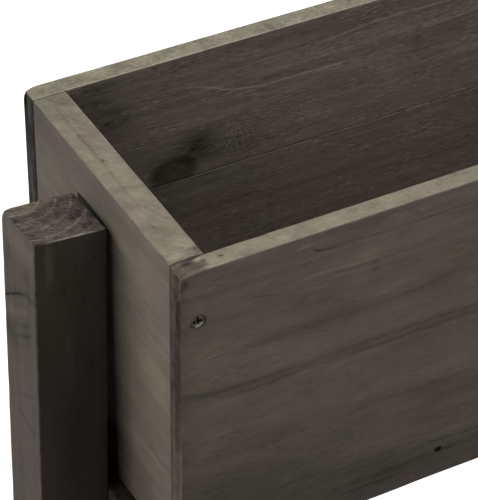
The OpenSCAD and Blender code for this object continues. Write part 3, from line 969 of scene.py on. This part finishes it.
def post_frame(x, y, z, bare=False):
    """Posts: along as depth below the top, across from the front face to the back one, through along x."""
    return (z, y, x) if bare else (POST_TOP - z, y + POST_HALF_WIDTH, x)


def cross_frame(x, y, z, bare=False):
    """Beams across the trough."""
    return (y, z, x)


def long_frame(x, y, z, bare=False):
    """Beams along the trough."""
    return (x, z, y)


# What each board shows, in millimetres of its frame. The left end is the one in the photo.
RIM_MARKS = (
    line(0.7, (20, -442, 0), (45, -442, -0.1), (75, -441.5, -0.12), (110, -442, -0.06), (150, -442, 0)),
)
FRONT_MARKS = (
    line(1.6, (0, 81, -0.133), (10, 83, -0.152), (22, 86, -0.133), (50, 87, -0.114), (110, 87, -0.104),
         (185, 88, -0.085), (260, 92, 0)),
    line(1.3, (18, 87, 0), (30, 91, -0.095), (50, 92, -0.133), (85, 91, -0.057), (110, 92, -0.114),
         (160, 92, -0.133), (190, 93, -0.038), (280, 97, 0)),
    line(2.6, (35, 63, 0), (48, 62, -0.085), (85, 61, -0.057), (105, 63, -0.095), (140, 63, -0.085),
         (165, 60, -0.057), (220, 60, 0)),
    line(0.9, (88, 12, 0), (110, 14, -0.114), (150, 14.5, -0.114), (175, 14, -0.076), (220, 16, 0)),
    line(0.8, (66, 8, 0), (72, 7, 0.171), (78, 7.5, 0.038), (84, 9, 0)),
    line(0.9, (76, 9, 0), (79, 12, -0.266), (90, 13.5, -0.209), (96, 13, 0)),
    line(0.9, (72, 32, 0), (90, 31, -0.095), (104, 32, -0.152), (125, 32, -0.114), (150, 33, 0)),
    line(0.8, (40, 28, 0), (50, 31, -0.114), (57, 33, -0.057), (70, 35, 0.057), (80, 37, 0.133), (90, 38, 0)),
    line(0.8, (70, 28, 0), (80, 28, 0.114), (96, 29, 0.095), (115, 30, 0.076), (140, 32, 0)),
    line(1.1, (90, 176, 0), (105, 177, -0.095), (150, 176, -0.095), (165, 182, -0.095), (200, 184, -0.057),
         (300, 188, 0)),
    line(1, (100, 197, 0), (115, 196.5, -0.114), (138, 197, -0.095), (150, 196, 0)),
    # These three shades darken the wall towards the bottom, partly its stain and partly painted shade.
    shade(7, (0, 141, -0.05), (40, 147, -0.07), (70, 156, -0.09), (95, 172, -0.1), (150, 180, -0.11),
          (200, 186, -0.11), (400, 192, -0.09), (900, 198, -0.06)),
    shade(24, (0, 122, -0.07), (200, 128, -0.07), (900, 140, -0.05)),
    shade(12, (0, 160, -0.06), (200, 184, -0.05), (900, 192, -0.03)),
    line(4.5, (0, 83, -0.05), (25, 88, -0.08), (60, 89.5, -0.07), (120, 89.5, -0.07), (190, 91, -0.05),
         (300, 95, 0)),
)
FRONT_PATCHES = (
    (125, 24, 70, 16, 0.05, 0.1), (110, 76, 70, 9, 0.05, 0), (6, 110, 10, 60, -0.03, 0),
    (30, 54, 40, 12, 0, 0.3), (22, 12, 26, 11, -0.035, -0.9), (14, 66, 20, 24, 0, 0.4),
    (72, 45, 44, 7, -0.03, 0.3), (118, 44, 10, 4, -0.03, -0.6), (110, 132, 90, 26, 0, -0.9),
    (30, 108, 30, 14, 0, -0.5), (92, 128, 10, 8, 0.03, 0.9), (50, 160, 60, 16, -0.02, 1),
    (150, 192, 70, 10, -0.02, 1), (140, 20, 60, 9, 0.03, 0.2), (60, 74, 40, 8, 0.025, 0),
    (130, 78, 50, 8, 0.02, -0.3), (64, 155, 9, 6, -0.03, 0.4), (117, 33, 2.2, 2, -0.16, 0.6),
    (117, 38, 2.4, 1.5, -0.1, 0), (2, 5, 4, 6, -0.08, 0.4), (2.6, 6, 1.5, 3.2, -0.14, 0.6),
    (1, 12, 1.5, 4, -0.08, 0.6), (20, 66, 18, 14, 0.01, 0.2), (3, 40, 4, 40, 0, -0.8),
    (36, 170, 40, 22, -0.05, 1), (90, 160, 30, 12, -0.03, 0.6),
)
FRONT_TOP_PATCHES = (
    (8, -85, 9, 8, -0.03, 0), (14, -81.8, 3, 1.4, 0.26, -0.7), (16.6, -84.6, 1.3, 3.2, -0.17, -0.6),
    (9, -85.5, 9, 5.5, -0.055, 0.9), (25, -85, 12, 7, 0, 1), (12.5, -87.6, 4.6, 0.9, -0.14, 0),
    (8, -82.6, 3.6, 1.4, -0.16, 0), (6.5, -85.5, 5.5, 3.5, -0.05, 0.3), (3, -81.6, 3, 1.4, 0.12, 0),
    (2.5, -88.5, 4, 2.4, 0.04, 0.5), (9, -89.4, 7, 0.9, 0.12, 0), (20, -90.3, 8, 0.9, 0.12, 0),
    (26.8, -84.6, 1.2, 0.9, -0.34, 0), (25.2, -84, 0.9, 1.4, -0.16, 0), (22, -86, 4, 2.4, 0.06, 0),
    (45, -84, 12, 3, 0.07, 0.4), (90, -86, 14, 3, 0.05, 0.3), (128, -83, 9, 3, 0.05, 0),
    (100, -79.5, 90, 0.5, -0.2, 0), (12.5, -79.2, 6.4, 0.8, -0.8, 0), (2.6, -79.4, 2, 0.6, -0.3, 0),
)
FRONT_END_PATCHES = (
    (28, -87.2, 16, 3.2, -0.1, -1.2), (70, -86, 26, 5, -0.07, -1), (8, -85, 7, 5, 0.04, 0.8),
    (16, -80.5, 40, 1.6, 0.05, 0.8), (112, -85, 18, 9, 0.05, 0.5), (150, -85, 30, 9, 0.13, 0.1),
    (190, -85, 32, 9, 0.17, -0.2), (100, -79.3, 130, 0.7, -0.26, 0),
    line(0.6, (0, -90.2, 0.1), (12, -89.8, 0.16), (17, -87.6, 0.18), (22, -84.6, 0.18), (30, -84, 0.16),
         (40, -84.8, 0.12), (52, -86.5, 0.08), (66, -89, 0)),
    line(0.7, (118, -90.3, 0), (130, -90.3, 0.16), (160, -90.3, 0.14), (180, -90.3, 0)),
)
BACK_END_PATCHES = (
    (100, 79.4, 130, 0.9, -0.15, -0.5), (40, 90.4, 60, 0.8, -0.1, 0), (30, 85, 12, 3, -0.08, -1.4),
    (56, 86, 8, 3, 0.05, -1.4), (72, 84, 9, 3, 0.05, 1.4), (12, 87, 10, 3, 0.04, 0.6),
    (20, 82.5, 26, 1, 0.08, 0.4), (90, 86, 60, 8, -0.03, 0.8),
)
BACK_MARKS = (
    line(0.55, (86, 20, 0), (95, 22, 0.2), (110, 27, 0.26), (125, 33, 0.28), (140, 35.5, 0.34),
         (148, 36, 0.16), (155, 36, 0.34), (166, 36.3, 0.2), (175, 36.5, 0.36), (190, 37, 0.34),
         (198, 37, 0.18), (205, 36, 0.1), (225, 33, 0.05), (240, 31, 0.12), (250, 30, 0.16),
         (270, 28.5, 0.05), (290, 27, 0.1), (340, 26, 0)),
    line(0.8, (55, 22, 0), (90, 20, 0.04), (130, 19, 0.05), (190, 17, 0.12), (240, 14, 0.24), (270, 15, 0.14),
         (300, 16, 0)),
    line(2.2, (50, 8, -0.02), (75, 8, -0.06), (110, 6, -0.05), (160, 5, -0.03), (240, 5, -0.01)),
    line(1, (45, 21, 0), (60, 20, -0.06), (90, 19, -0.05), (120, 19, 0)),
    line(0.7, (0, 85.6, -0.2), (110, 85.6, -0.1), (160, 85.6, -0.02), (900, 85.6, -0.02)),
)
BACK_TOP_PATCHES = (
    (90, 79.3, 90, 0.7, 0.3, 0), (260, 79.3, 90, 0.7, 0.24, 0), (420, 79.3, 90, 0.6, 0.18, 0),
    (35, 90, 14, 1.2, 0.2, 0), (20, 85, 22, 9, -0.05, 0), (78, 86, 6, 1.2, -0.1, 0),
)
BACK_PATCHES = (
    (270, 45, 70, 50, 0.04, 0), (200, 30, 120, 12, 0.06, 0), (200, 72, 120, 12, -0.025, 0),
    (150, 9, 120, 5, 0.05, 0), (36, 9, 17, 11, -0.24, 0.9), (47, 32, 13, 13, -0.22, 0.9),
    (62, 21, 26, 8, -0.06, 0.7), (66, 66, 12, 14, -0.08, 0.9), (105, 60, 10, 7, -0.2, 0.9),
    (102, 69, 10, 10, -0.16, 0.8), (99, 64, 14, 11, -0.12, 0.6), (87, 79, 20, 14, 0, 1),
    (74, 80, 8, 10, -0.08, 1), (122, 59, 30, 6, -0.05, 0.6), (160, 45, 60, 12, 0.05, -0.5),
    (100, 46, 30, 8, 0.03, -0.3), (210, 12, 12, 5, -0.05, 1), (249, 37, 4, 4, -0.1, 0.4),
    (256, 42, 16, 2, -0.07, 0.4), (264, 50, 14, 2.4, -0.06, 0.3), (276, 37, 9, 4, -0.05, 0.4),
    (240, 60, 50, 10, 0.03, 0), (230, 104, 70, 14, 0, -1), (300, 90, 60, 20, 0.02, -0.8),
    (190, 22, 90, 7, 0.04, 0.2), (126, 73, 22, 9, -0.13, -0.2), (109, 68, 8, 8, -0.06, 0.5),
)
LOWER_MARKS = (
    line(1.3, (0, 86.6, -0.2), (90, 86.6, -0.16), (125, 86.6, -0.05), (170, 86.6, -0.02), (900, 86.6, -0.02)),
)
LOWER_PATCHES = (
    (220, 98, 120, 6, 0.035, 0), (110, 96, 40, 10, -0.02, 0.8), (260, 112, 90, 16, 0, -1.3),
    (120, 120, 50, 12, -0.03, -0.5), (80, 100, 14, 16, -0.06, 0.9),
)
# The first two shades are painted shade: the post's shadow on the end board, darkest in the slot behind the
# post and softening towards the front. The last shade makes the board darker towards the bottom.
END_MARKS = (
    shade(0.8, (64, 28, 0), (67, 25.9, -0.77), (84, 25.4, -0.8), (100.6, 26.6, -0.8), (103.2, 27, -0.69),
          (104.8, 27.4, -0.56), (105.9, 28, -0.33), (108, 29, -0.26), (111, 30, -0.19), (115, 31, -0.09),
          (125, 31, 0), steady=True),
    shade(45, (101, 120, 0), (104, 120, -0.08), (106, 120, -0.26), (111, 120, -0.26), (117, 120, -0.2),
          (121.5, 120, -0.1), (126, 120, 0), steady=True),
    line(1, (132, 60, 0), (145, 63, -0.04), (156, 61, -0.05), (166, 63, 0)),
    line(0.9, (128, 69, 0), (140, 68, -0.05), (152, 66, 0.03), (166, 66, 0)),
    line(1.2, (108, 78, 0), (125, 80, -0.04), (150, 75, -0.04), (166, 77, 0)),
    line(1.3, (112, 147, 0), (125, 148, 0.05), (150, 146, -0.05), (168, 146, 0)),
    line(1.6, (108, 152, 0), (128, 153, 0.06), (150, 152, 0.04), (168, 152, 0)),
    line(1.6, (108, 185, 0), (120, 186, -0.07), (135, 181, -0.05), (168, 178, 0)),
    shade(26, (0, 168, -0.03), (182, 174, -0.045)),
)
END_TOP_PATCHES = (
    (163.5, -433, 1.4, 4.2, -0.16, 0), (166.5, -431.5, 3, 2.6, -0.1, 0.4), (161, -439.5, 1, 4, -0.13, 0),
    (166, -443.5, 2.4, 5, 0.18, 0), (157, -436, 6, 6, 0.09, 0.5), (169.9, -436.5, 0.6, 6, -0.5, 0),
    (45, -430.3, 40, 0.6, 0.34, 0), (110, -430.3, 34, 0.5, 0.24, 0), (20, -440, 12, 12, -0.05, 0.1),
    (78, -440.6, 1.6, 0.8, -0.2, 0), (30, -440, 16, 9, -0.04, 0.2), (70, -446, 20, 3, 0.05, 0),
    (100, -436, 24, 4, 0.05, 0.4),
)
# Patches (146, 70), (148, 90) are painted light on the near side; (30, 30), (16, 3) are painted shade on the
# far side and its top corner.
END_PATCHES = (
    (16, 3, 11, 12, -0.13, 0.2), (146, 70, 30, 80, 0.05, 0.5), (150, 25, 26, 32, 0.07, -0.2),
    (30, 30, 34, 40, -0.05, -0.4), (40, 68, 24, 12, -0.04, 0.2), (30, 50, 24, 10, 0.05, 0),
    (148, 90, 24, 20, 0.12, 0.3), (150, 35, 20, 22, 0, -0.6), (120, 30, 20, 20, 0.02, 0.4),
    (30, 40, 24, 22, 0.03, 0.6), (20, 12, 20, 12, -0.04, -1), (140, 130, 30, 16, 0.03, 0.2),
    (150, 168, 26, 18, 0.03, -0.5), (126, 178, 14, 10, -0.04, 0.8), (161, 100, 6, 30, 0.03, 0.3),
    (60, 8, 40, 8, 0, -0.4), (118, 104, 10, 30, -0.02, 0.6), (135, 57, 5, 2, -0.05, 0.2),
)
# Painted shade on the bearer's top, in the slot between the post and the end board.
BEARER_TOP_PATCHES = (
    (-3, -450, 17, 6, -0.3, 0), (14, -450, 12, 6, -0.2, 0),
)
POST_MARKS = (
    line(0.9, (0, 37, -0.066), (8, 38.5, -0.111), (16, 41, -0.155), (22, 44, -0.42), (28, 49, -0.46),
         (40, 57, -0.44), turned=True),
    line(2.6, (0, 36, -0.111), (14, 40, -0.155), (24, 44, -0.111), (40, 56, -0.066), turned=True),
    line(2.6, (6, 49, 0), (20, 55, 0.111), (40, 70, 0.111), turned=True),
    line(1.4, (6, 55, 0), (12, 60, -0.155), (22, 64, -0.111), (30, 72, 0), turned=True),
    line(1.4, (4, 60, 0), (11, 66, -0.177), (20, 71, -0.133), (28, 78, 0), turned=True),
    line(1.6, (0, 100, 0), (10, 108, -0.088), (22, 116, -0.066), (40, 130, 0), turned=True),
    line(1.6, (0, 130, 0), (12, 133, -0.133), (22, 130, -0.111), (34, 140, 0), turned=True),
)
POST_TOP_PATCHES = (
    (0.4, -475, 0.9, 17, 0.34, 0.3), (0.6, -492, 1.2, 5, -0.16, 0), (12, -463, 12, 8, -0.06, -0.2),
    (36, -486, 6, 10, 0.08, 0.8), (39, -476, 2, 18, 0.06, 1), (22, -470, 10, 8, -0.04, 0.2),
)
POST_NEAR_PATCHES = (
    (13, -488.5, 15, 2.6, 0.1, 0.4), (40, -478, 60, 20, 0.02, 1.6), (84, -478, 20, 2.6, 0.05, 1),
    (150, -468, 70, 18, -0.03, -1.6), (17, -462.5, 1.8, 0.9, -0.09, -1), (32, -480, 3.4, 1.1, -0.06, 0),
    (150, -492, 40, 5, 0.03, -0.6),
)
POST_PATCHES = (
    (7, 20, 11, 40, 0.15, -0.1), (29, 20, 9, 30, -0.07, 0.3), (125, 20, 40, 30, 0.03, 0),
    (60, 33, 5, 7, 0.06, 0), (77, 33, 9, 9, -0.22, 1.6), (66, 12, 9, 4, -0.14, 0.3),
    (22, 32, 5, 3, -0.12, 0.2), (25, 11, 4, 3, -0.12, 0.3), (95, 30, 16, 12, 0, 1),
    (160, 20, 40, 22, 0, -0.9), (8, 20, 12, 20, 0.04, -0.3), (30, 22, 12, 14, 0.03, -0.6),
    (150, 3, 4, 2, -0.06, 0), (70, 4, 30, 5, 0.03, 0), (8, 20, 11, 26, 0.04, 0.3),
    (28, 20, 9, 26, 0.035, 0.2), (48, 20, 8, 20, -0.02, 0.1),
)
# Woods by name. A knot is (along, across, half length, half width, push on the rings, darkness), a heart is
# (radius, tone), and a side level is (axis, sign, tone, share of the texture that it takes away).
WOODS = {
    "front_wall": dict(
        frame_of=wall_frame, pith=(105, -160), level=0.60, spacing=7, dashes=0.11, fibres=0.08, streaks=0.13,
        blotches=0.48, hues=0.8, marks=FRONT_MARKS, patches=FRONT_PATCHES, end_rings=0.12, end_pitch=7.5,
        knots=((168.5, 189.5, 2.6, 2.0, 2, 0.40), (174, 190.5, 4.5, 1.0, 0, 0.10),
               # The knot at (10.8, 32.9) is painted shade: a dark ring round the visible screw's hole.
               (10.8, 32.9, 4.6, 4.6, 0, 0.50), (612, 60, 15, 8, 12, 0.22)), end_level=-0.33, bump=0.16,
        side_patches=((2, 1, FRONT_TOP_PATCHES), (0, -1, FRONT_END_PATCHES)),
        rim={"level": 0.465, "start": 15}),
    "back_wall_upper": dict(
        frame_of=wall_frame, pith=(60, 190), level=0.69, seed=3.0, spacing=5, dashes=0.26, fibres=0.46,
        streaks=0.32, blotches=0.24, marks=BACK_MARKS, patches=BACK_PATCHES,
        knots=((87.5, 79.5, 15.5, 12.5, 12, 0.36), (89, 80, 8, 7, 0, -0.035), (700, 30, 16, 8, 12, 0.22)),
        swirls=((127, 70, 15, 9, 87, 79, 2.3, 0.26), (158, 61, 30, 8, 60, 150, 2.2, 0.22)),
        side_patches=((2, 1, BACK_TOP_PATCHES), (0, -1, BACK_END_PATCHES)), end_level=-0.635, end_rings=0.16,
        end_pitch=8.5, rim={"level": 0.475, "speckle": 0.7, "cloud": 0.9}),
    "back_wall_lower": dict(
        frame_of=wall_frame, pith=(170, 190), level=0.605, seed=6.0, spacing=5, dashes=0.26, fibres=0.4,
        streaks=0.3, marks=LOWER_MARKS, patches=LOWER_PATCHES, knots=((420, 150, 16, 8, 12, 0.22),),
        end_level=-0.5, end_rings=0.16, end_pitch=8.5),
    "end_board_left": dict(
        frame_of=end_frame, pith=(90, -640), level=0.75, seed=9.0, rings=0.03, dashes=0.06, fibres=0.07,
        streaks=0.13, blotches=0.38, hues=0.6, marks=END_MARKS, mark_side=(0, -1), patches=END_PATCHES,
        side_patches=((2, 1, END_TOP_PATCHES),), rim={"level": 0.41, "marks": RIM_MARKS}, bump=0.22),
    "end_board_right": dict(
        frame_of=end_frame, pith=(60, 640), level=0.62, seed=12.0, dashes=0.05,
        knots=((60, 120, 13, 10, 12, 0.22),), rim={"level": 0.52}),
    "post_left": dict(
        frame_of=post_frame, pith=(48, -490.5), level=0.46, seed=15.0, spacing=8.6, warp=1.6, rings=0.04,
        fibres=0.14, streaks=0.18, blotches=0.34, marks=POST_MARKS, mark_side=(0, -1), patches=POST_PATCHES,
        side_patches=((1, -1, POST_NEAR_PATCHES), (2, 1, POST_TOP_PATCHES)),
        # The post's near face is darker: partly a darker face of the wood, partly painted shade.
        side_levels=((1, -1, -0.278, 0.6),), end_level=-0.155, end_rings=0.20, heart=(17.2, 0.12), pores=0.38,
        wear_level=0.20, bump=0.3),
    "post_right": dict(
        frame_of=post_frame, pith=(-8, 484), level=0.58, seed=18.0, spacing=6.5, warp=1.2,
        knots=((180, 16, 13, 8, 7, 0.2),), end_level=-0.16, end_rings=0.18, pores=0.10),
    "cross_beam": dict(
        frame_of=cross_frame, pith=(30, -420), level=0.52, seed=21.0, end_rings=0.12, pores=0.10),
    # The bearer's wood is darker than the other beams', more so on its top and outer side: painted shade
    # under the trough.
    "bearer": dict(
        frame_of=cross_frame, pith=(30, -420), level=0.40, seed=21.0, hues=0.4, end_rings=0.10, pores=0.06,
        side_patches=((2, 1, BEARER_TOP_PATCHES),), side_levels=((2, 1, -0.22, 0), (0, -1, -0.17, 0)),
        end_level=-0.05, wear_level=0.05),
    "stretcher": dict(
        frame_of=long_frame, pith=(96, 26), level=0.52, seed=24.0, end_rings=0.12, pores=0.10),
    "cleat": dict(frame_of=long_frame, pith=(500, 60), level=0.48, seed=27.0, pores=0.10),
    "floor_slat": dict(frame_of=cross_frame, pith=(500, 10), level=0.48, seed=30.0, pores=0.10),
    "dowel": dict(
        frame_of=post_frame, pith=(80, 10), level=0.6, seed=33.0, spacing=1.5, wear_level=0.0,
        tones=DOWEL_TONES),
}


def make_materials():
    """All materials by name."""
    made = {name: make_wood(name + "_wood", **settings) for name, settings in WOODS.items()}
    # Dark screw steel, with the colour of the painted highlight on the heads' low side
    made["screw"] = make_steel("screw_steel", (0.034, 0.028, 0.022), 0.36, shine=(0.15, 0.14, 0.118))
    made["bolt"] = make_steel("bolt_steel", (0.30, 0.30, 0.305), 0.38)
    made["rubber"] = make_rubber("pad_rubber")
    return made


# Chips and dents in millimetres: place from the left end, from the front, depth below the rim, radius, move
FRONT_DENTS = (
    (0, 0, 0, 3.6, (0.5, 0.6, -2.2)), (1.5, 0, 1, 2.6, (0, 0.9, -0.9)), (4.5, 0, 0, 2.4, (0, 0.6, -0.9)),
    (9, 0, 0, 3, (0, 0.3, -0.5)), (0, 5.5, 0, 2.6, (0.3, 0, -1.7)), (0, 10.5, 0, 2.6, (0.3, 0, -1.5)),
    (2.2, 0, 6, 2.2, (0, 0.9, 0)), (1, 0, 10, 2.4, (0.3, 0.7, 0)), (0, 0, 15, 3, (0.5, 0.4, 0)),
    (0, 0, 22, 4, (1, 0.6, 0)), (0, 0, 31, 4, (0.6, 0.5, 0)), (0, 0, 40, 5, (0.9, 0.6, 0)),
    (0, 0, 60, 6, (0.5, 0.4, 0)), (0, 0, 92, 6, (0.7, 0.5, 0)), (0, 0, 125, 8, (0.5, 0.4, 0)),
    (16, 7, 0, 2.2, (0, 0, -0.6)), (8, 9, 0, 2.6, (0, 0, -0.5)), (12, 12, 0, 3.2, (0, 0, -0.7)),
)
BACK_DENTS = (
    (0, 182, 0, 3.4, (1, -1, -0.8)),
)
END_DENTS = (
    (16, 16, 0, 3.4, (0, 0, -0.9)), (10, 12, 0, 3, (0, 0, -0.5)), (0.5, 13, 0, 2.5, (0.4, 0, -0.8)),
)
POST_DENTS = (
    (-47, 111, 13.7, 3.2, (0.9, -0.9, -0.5)), (-47, 71, 13.7, 2.4, (0.4, 0.4, -0.5)),
)


def push_in(points, dents):
    """Moves the points into the dents, and gives how deep in one each lies, from 0 to 1."""
    depth = np.zeros(len(points))
    for along, across, below, radius, move in dents:
        middle = np.array((along - HALF_LENGTH, across - HALF_WIDTH, RIM - below)) * MM
        near = np.exp(-(((points - middle) ** 2).sum(1)) / (radius * MM) ** 2)
        points += near[:, None] * np.array(move) * MM
        depth = np.maximum(depth, near)
    return depth


def lean_wall(points, low, high):
    """Both ends of a wall lean in on the way down."""
    points[:, 0] *= 1 - (high[2] - points[:, 2]) * LEAN / high[0]


def lean_end(points, low, high):
    """An end board leans towards the middle on the way down."""
    side = math.copysign(1, low[0])
    points[:, 0] -= side * (high[2] - points[:, 2]) * LEAN


def slope_foot(points, low, high):
    """The upper ends of a foot slope down."""
    past = np.maximum(0, np.abs(points[:, 1]) - (high[1] - FOOT_BEVEL))
    full = high[2] - low[2]
    points[:, 2] = low[2] + (points[:, 2] - low[2]) * (full - past) / full


def slope_top(points, low, high):
    """The top of a post slopes down towards the trough and towards the back."""
    inward = (points[:, 0] - low[0]) / (high[0] - low[0])
    if low[0] > 0:
        inward = 1 - inward
    back = (points[:, 1] - low[1]) / (high[1] - low[1])
    full = high[2] - low[2]
    drop = inward * POST_SLOPE_X + back * POST_SLOPE_Y
    points[:, 2] = low[2] + (points[:, 2] - low[2]) * (full - drop) / full


# The radius and wear of edges, and the spacing of points, by kind of board
FRONT = dict(radius=0.8 * MM, wear=0.8 * MM * 0.6, fine=1.3 * MM)
BACK = dict(radius=0.4 * MM, wear=0.4 * MM * 0.6, fine=1.3 * MM)
SMALL = dict(radius=0.8 * MM, wear=0.5 * MM)
END = dict(**SMALL, fine=1.6 * MM, coarse=8 * MM)
POST = dict(radius=0.9 * MM, wear=0.5 * MM, pitch=4 * MM, fine=1.6 * MM)
BEAM = dict(radius=1.5 * MM, wear=0.5 * MM)
FOOT = dict(**BEAM, extra=(FOOT_BEVEL - 1.2 * MM, FOOT_BEVEL, FOOT_BEVEL + 1.2 * MM))

# Each wooden node: the axis of its grain, its slot, its wood, what shapes it, its dents and its edges
BOARDS = {
    "front_wall": (0, "wall_wood", "front_wall", lean_wall, FRONT_DENTS, FRONT),
    "back_wall_upper": (0, "wall_wood", "back_wall_upper", lean_wall, BACK_DENTS, BACK),
    "back_wall_lower": (0, "wall_wood", "back_wall_lower", lean_wall, (), BACK),
    "end_board_left": (1, "end_wood", "end_board_left", lean_end, END_DENTS, END),
    "end_board_right": (1, "end_wood", "end_board_right", lean_end, (), END),
    "post_left": (2, "post_wood", "post_left", slope_top, POST_DENTS, POST),
    "post_right": (2, "post_wood", "post_right", slope_top, (), POST),
    "bearer_left": (1, "beam_wood", "bearer", None, (), BEAM),
    "bearer_right": (1, "beam_wood", "bearer", None, (), BEAM),
    "foot_left": (1, "beam_wood", "cross_beam", slope_foot, (), FOOT),
    "foot_right": (1, "beam_wood", "cross_beam", slope_foot, (), FOOT),
    "stretcher": (0, "beam_wood", "stretcher", None, (), dict(**BEAM, coarse=15 * MM)),
    "front_cleat": (0, "floor_wood", "cleat", None, (), dict(**SMALL, coarse=15 * MM)),
    "back_cleat": (0, "floor_wood", "cleat", None, (), dict(**SMALL, coarse=15 * MM)),
}
SLAT = (1, "floor_wood", "floor_slat", None, (), dict(**SMALL, coarse=10 * MM))
BOARDS.update({f"floor_slat_{number}": SLAT for number in range(1, SLATS + 1)})


def make_board(node, material, cutters, grain, shape, dents, settings):
    """One piece of wood in a node's place, as BOARDS says, with the holes that the fasteners need."""
    low, high = (np.array(corner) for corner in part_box(node))
    if shape is lean_end:
        inner = low if low[0] > 0 else high
        inner[0] -= math.copysign((high[2] - low[2]) * LEAN, -low[0])
    points, faces, worn = bar_mesh(low, high, grain, **settings)
    dent = push_in(points, dents)
    if shape:
        shape(points, low, high)
    low, high = points.min(0), points.max(0)
    mesh = mesh_of(points, faces, wear=worn, dent=dent)
    near = [c for c in cutters if (c[0].max(0) > low).all() and (c[0].min(0) < high).all()]
    if near:
        mesh = cut_away(mesh, mesh_of(*joined(near)))
    dress(make_object(node + ".wood", mesh, material), node)


def make_screws(node, d, head_d, material):
    """Screws in a node's place, with a painted highlight low on their heads. Gives what they cut out of the
    wood.
    """
    shapes, holes, made, shine = [], [], {}, []
    for solid in shells(node):
        top, way, length = headed(solid)
        size = round(length, 5)
        if size not in made:
            made[size] = screw_shape(d, head_d, size)
        shape = placed(made[size], top, way)
        shapes.append(shape)
        # The painted highlight: bright towards the head's low side, near its top
        away = shape[0] - top
        low_side = away @ np.array(HEAD_LOW_SIDE) / (head_d / 2)
        shine.append(np.clip(low_side, 0, 1) * (away @ way > -HEAD_HIGHLIGHT_DEPTH))
        shift = np.array(HEAD_LOW_SIDE) * HEAD_SHIFT * (1 - np.abs(way))
        holes.append(placed(screw_hole(d, head_d, size), top + shift, way))
    mesh = mesh_of(*joined(shapes), shine=np.concatenate(shine))
    dress(make_object(node + ".steel", mesh, material), node)
    return holes


def make_set(node, builder, material, ending="detail"):
    """Pieces in a node's place, each made from its solid by the builder."""
    shapes = [builder(solid) for solid in shells(node)]
    dress(make_object(f"{node}.{ending}", mesh_of(*joined(shapes)), material), node)


def bolt_holes(node, d):
    """What the bolts of a node cut out of the wood."""
    holes = []
    for solid in shells(node):
        top, way, length = headed(solid)
        holes.append(placed(rod_hole(d / 2 + HOLE_CLEAR, 0, -length - HOLE_OVER), top, way))
    return holes


def barrel_hole(solid):
    """The hole that a barrel nut lies in, open to the front."""
    middle = (solid.min(0) + solid.max(0)) / 2
    base = middle + np.array((0, BARREL_HALF_LENGTH, 0))
    return placed(rod_hole(BARREL_R + HOLE_CLEAR, 0, BARREL_HOLE_DEPTH), base, (0, -1, 0))


def make_fasteners(paint):
    """All screws, bolts and pads. Gives what they cut out of the wood."""
    cutters = []
    for node, (d, head_d) in SCREWS.items():
        cutters += make_screws(node, d, head_d, paint["screw"])
    for node, builder in (("bearer_bolts", domed_bolt), ("foot_bolts", domed_bolt), ("rail_bolts", hex_bolt),
                          ("frame_washers", washer), ("rail_washers", washer), ("frame_nuts", nut)):
        make_set(node, builder, paint["bolt"])
    for node, d in (("bearer_bolts", NECK_BORE), ("foot_bolts", NECK_BORE), ("rail_bolts", BOLT_D)):
        cutters += bolt_holes(node, d)
    cutters += [barrel_hole(solid) for solid in shells("barrel_nuts")]
    for node, material in (("barrel_nuts", "bolt"), ("seam_dowels", "dowel")):
        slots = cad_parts[node].data.materials
        slots.clear()
        slots.append(paint[material])
    for number in range(1, PADS + 1):
        make_set(f"foot_pad_{number}", foot_pad, paint["rubber"], "rubber")
    return cutters


bpy.context.scene.view_settings.view_transform = "Standard"
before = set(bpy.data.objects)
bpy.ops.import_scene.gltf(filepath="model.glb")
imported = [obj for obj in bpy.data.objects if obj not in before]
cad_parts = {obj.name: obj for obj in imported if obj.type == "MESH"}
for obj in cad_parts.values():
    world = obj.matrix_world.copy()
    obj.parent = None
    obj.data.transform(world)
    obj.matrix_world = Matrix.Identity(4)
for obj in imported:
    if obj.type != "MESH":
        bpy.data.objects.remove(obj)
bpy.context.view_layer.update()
make_camera()
for lamp, settings in LAMPS.items():
    make_lamp(lamp, *settings)
make_world()
make_floor()
paint = make_materials()
cutters = make_fasteners(paint)
for node, (grain, slot, wood, shape, dents, settings) in BOARDS.items():
    make_board(node, paint[wood], cutters, grain, shape, dents, settings)
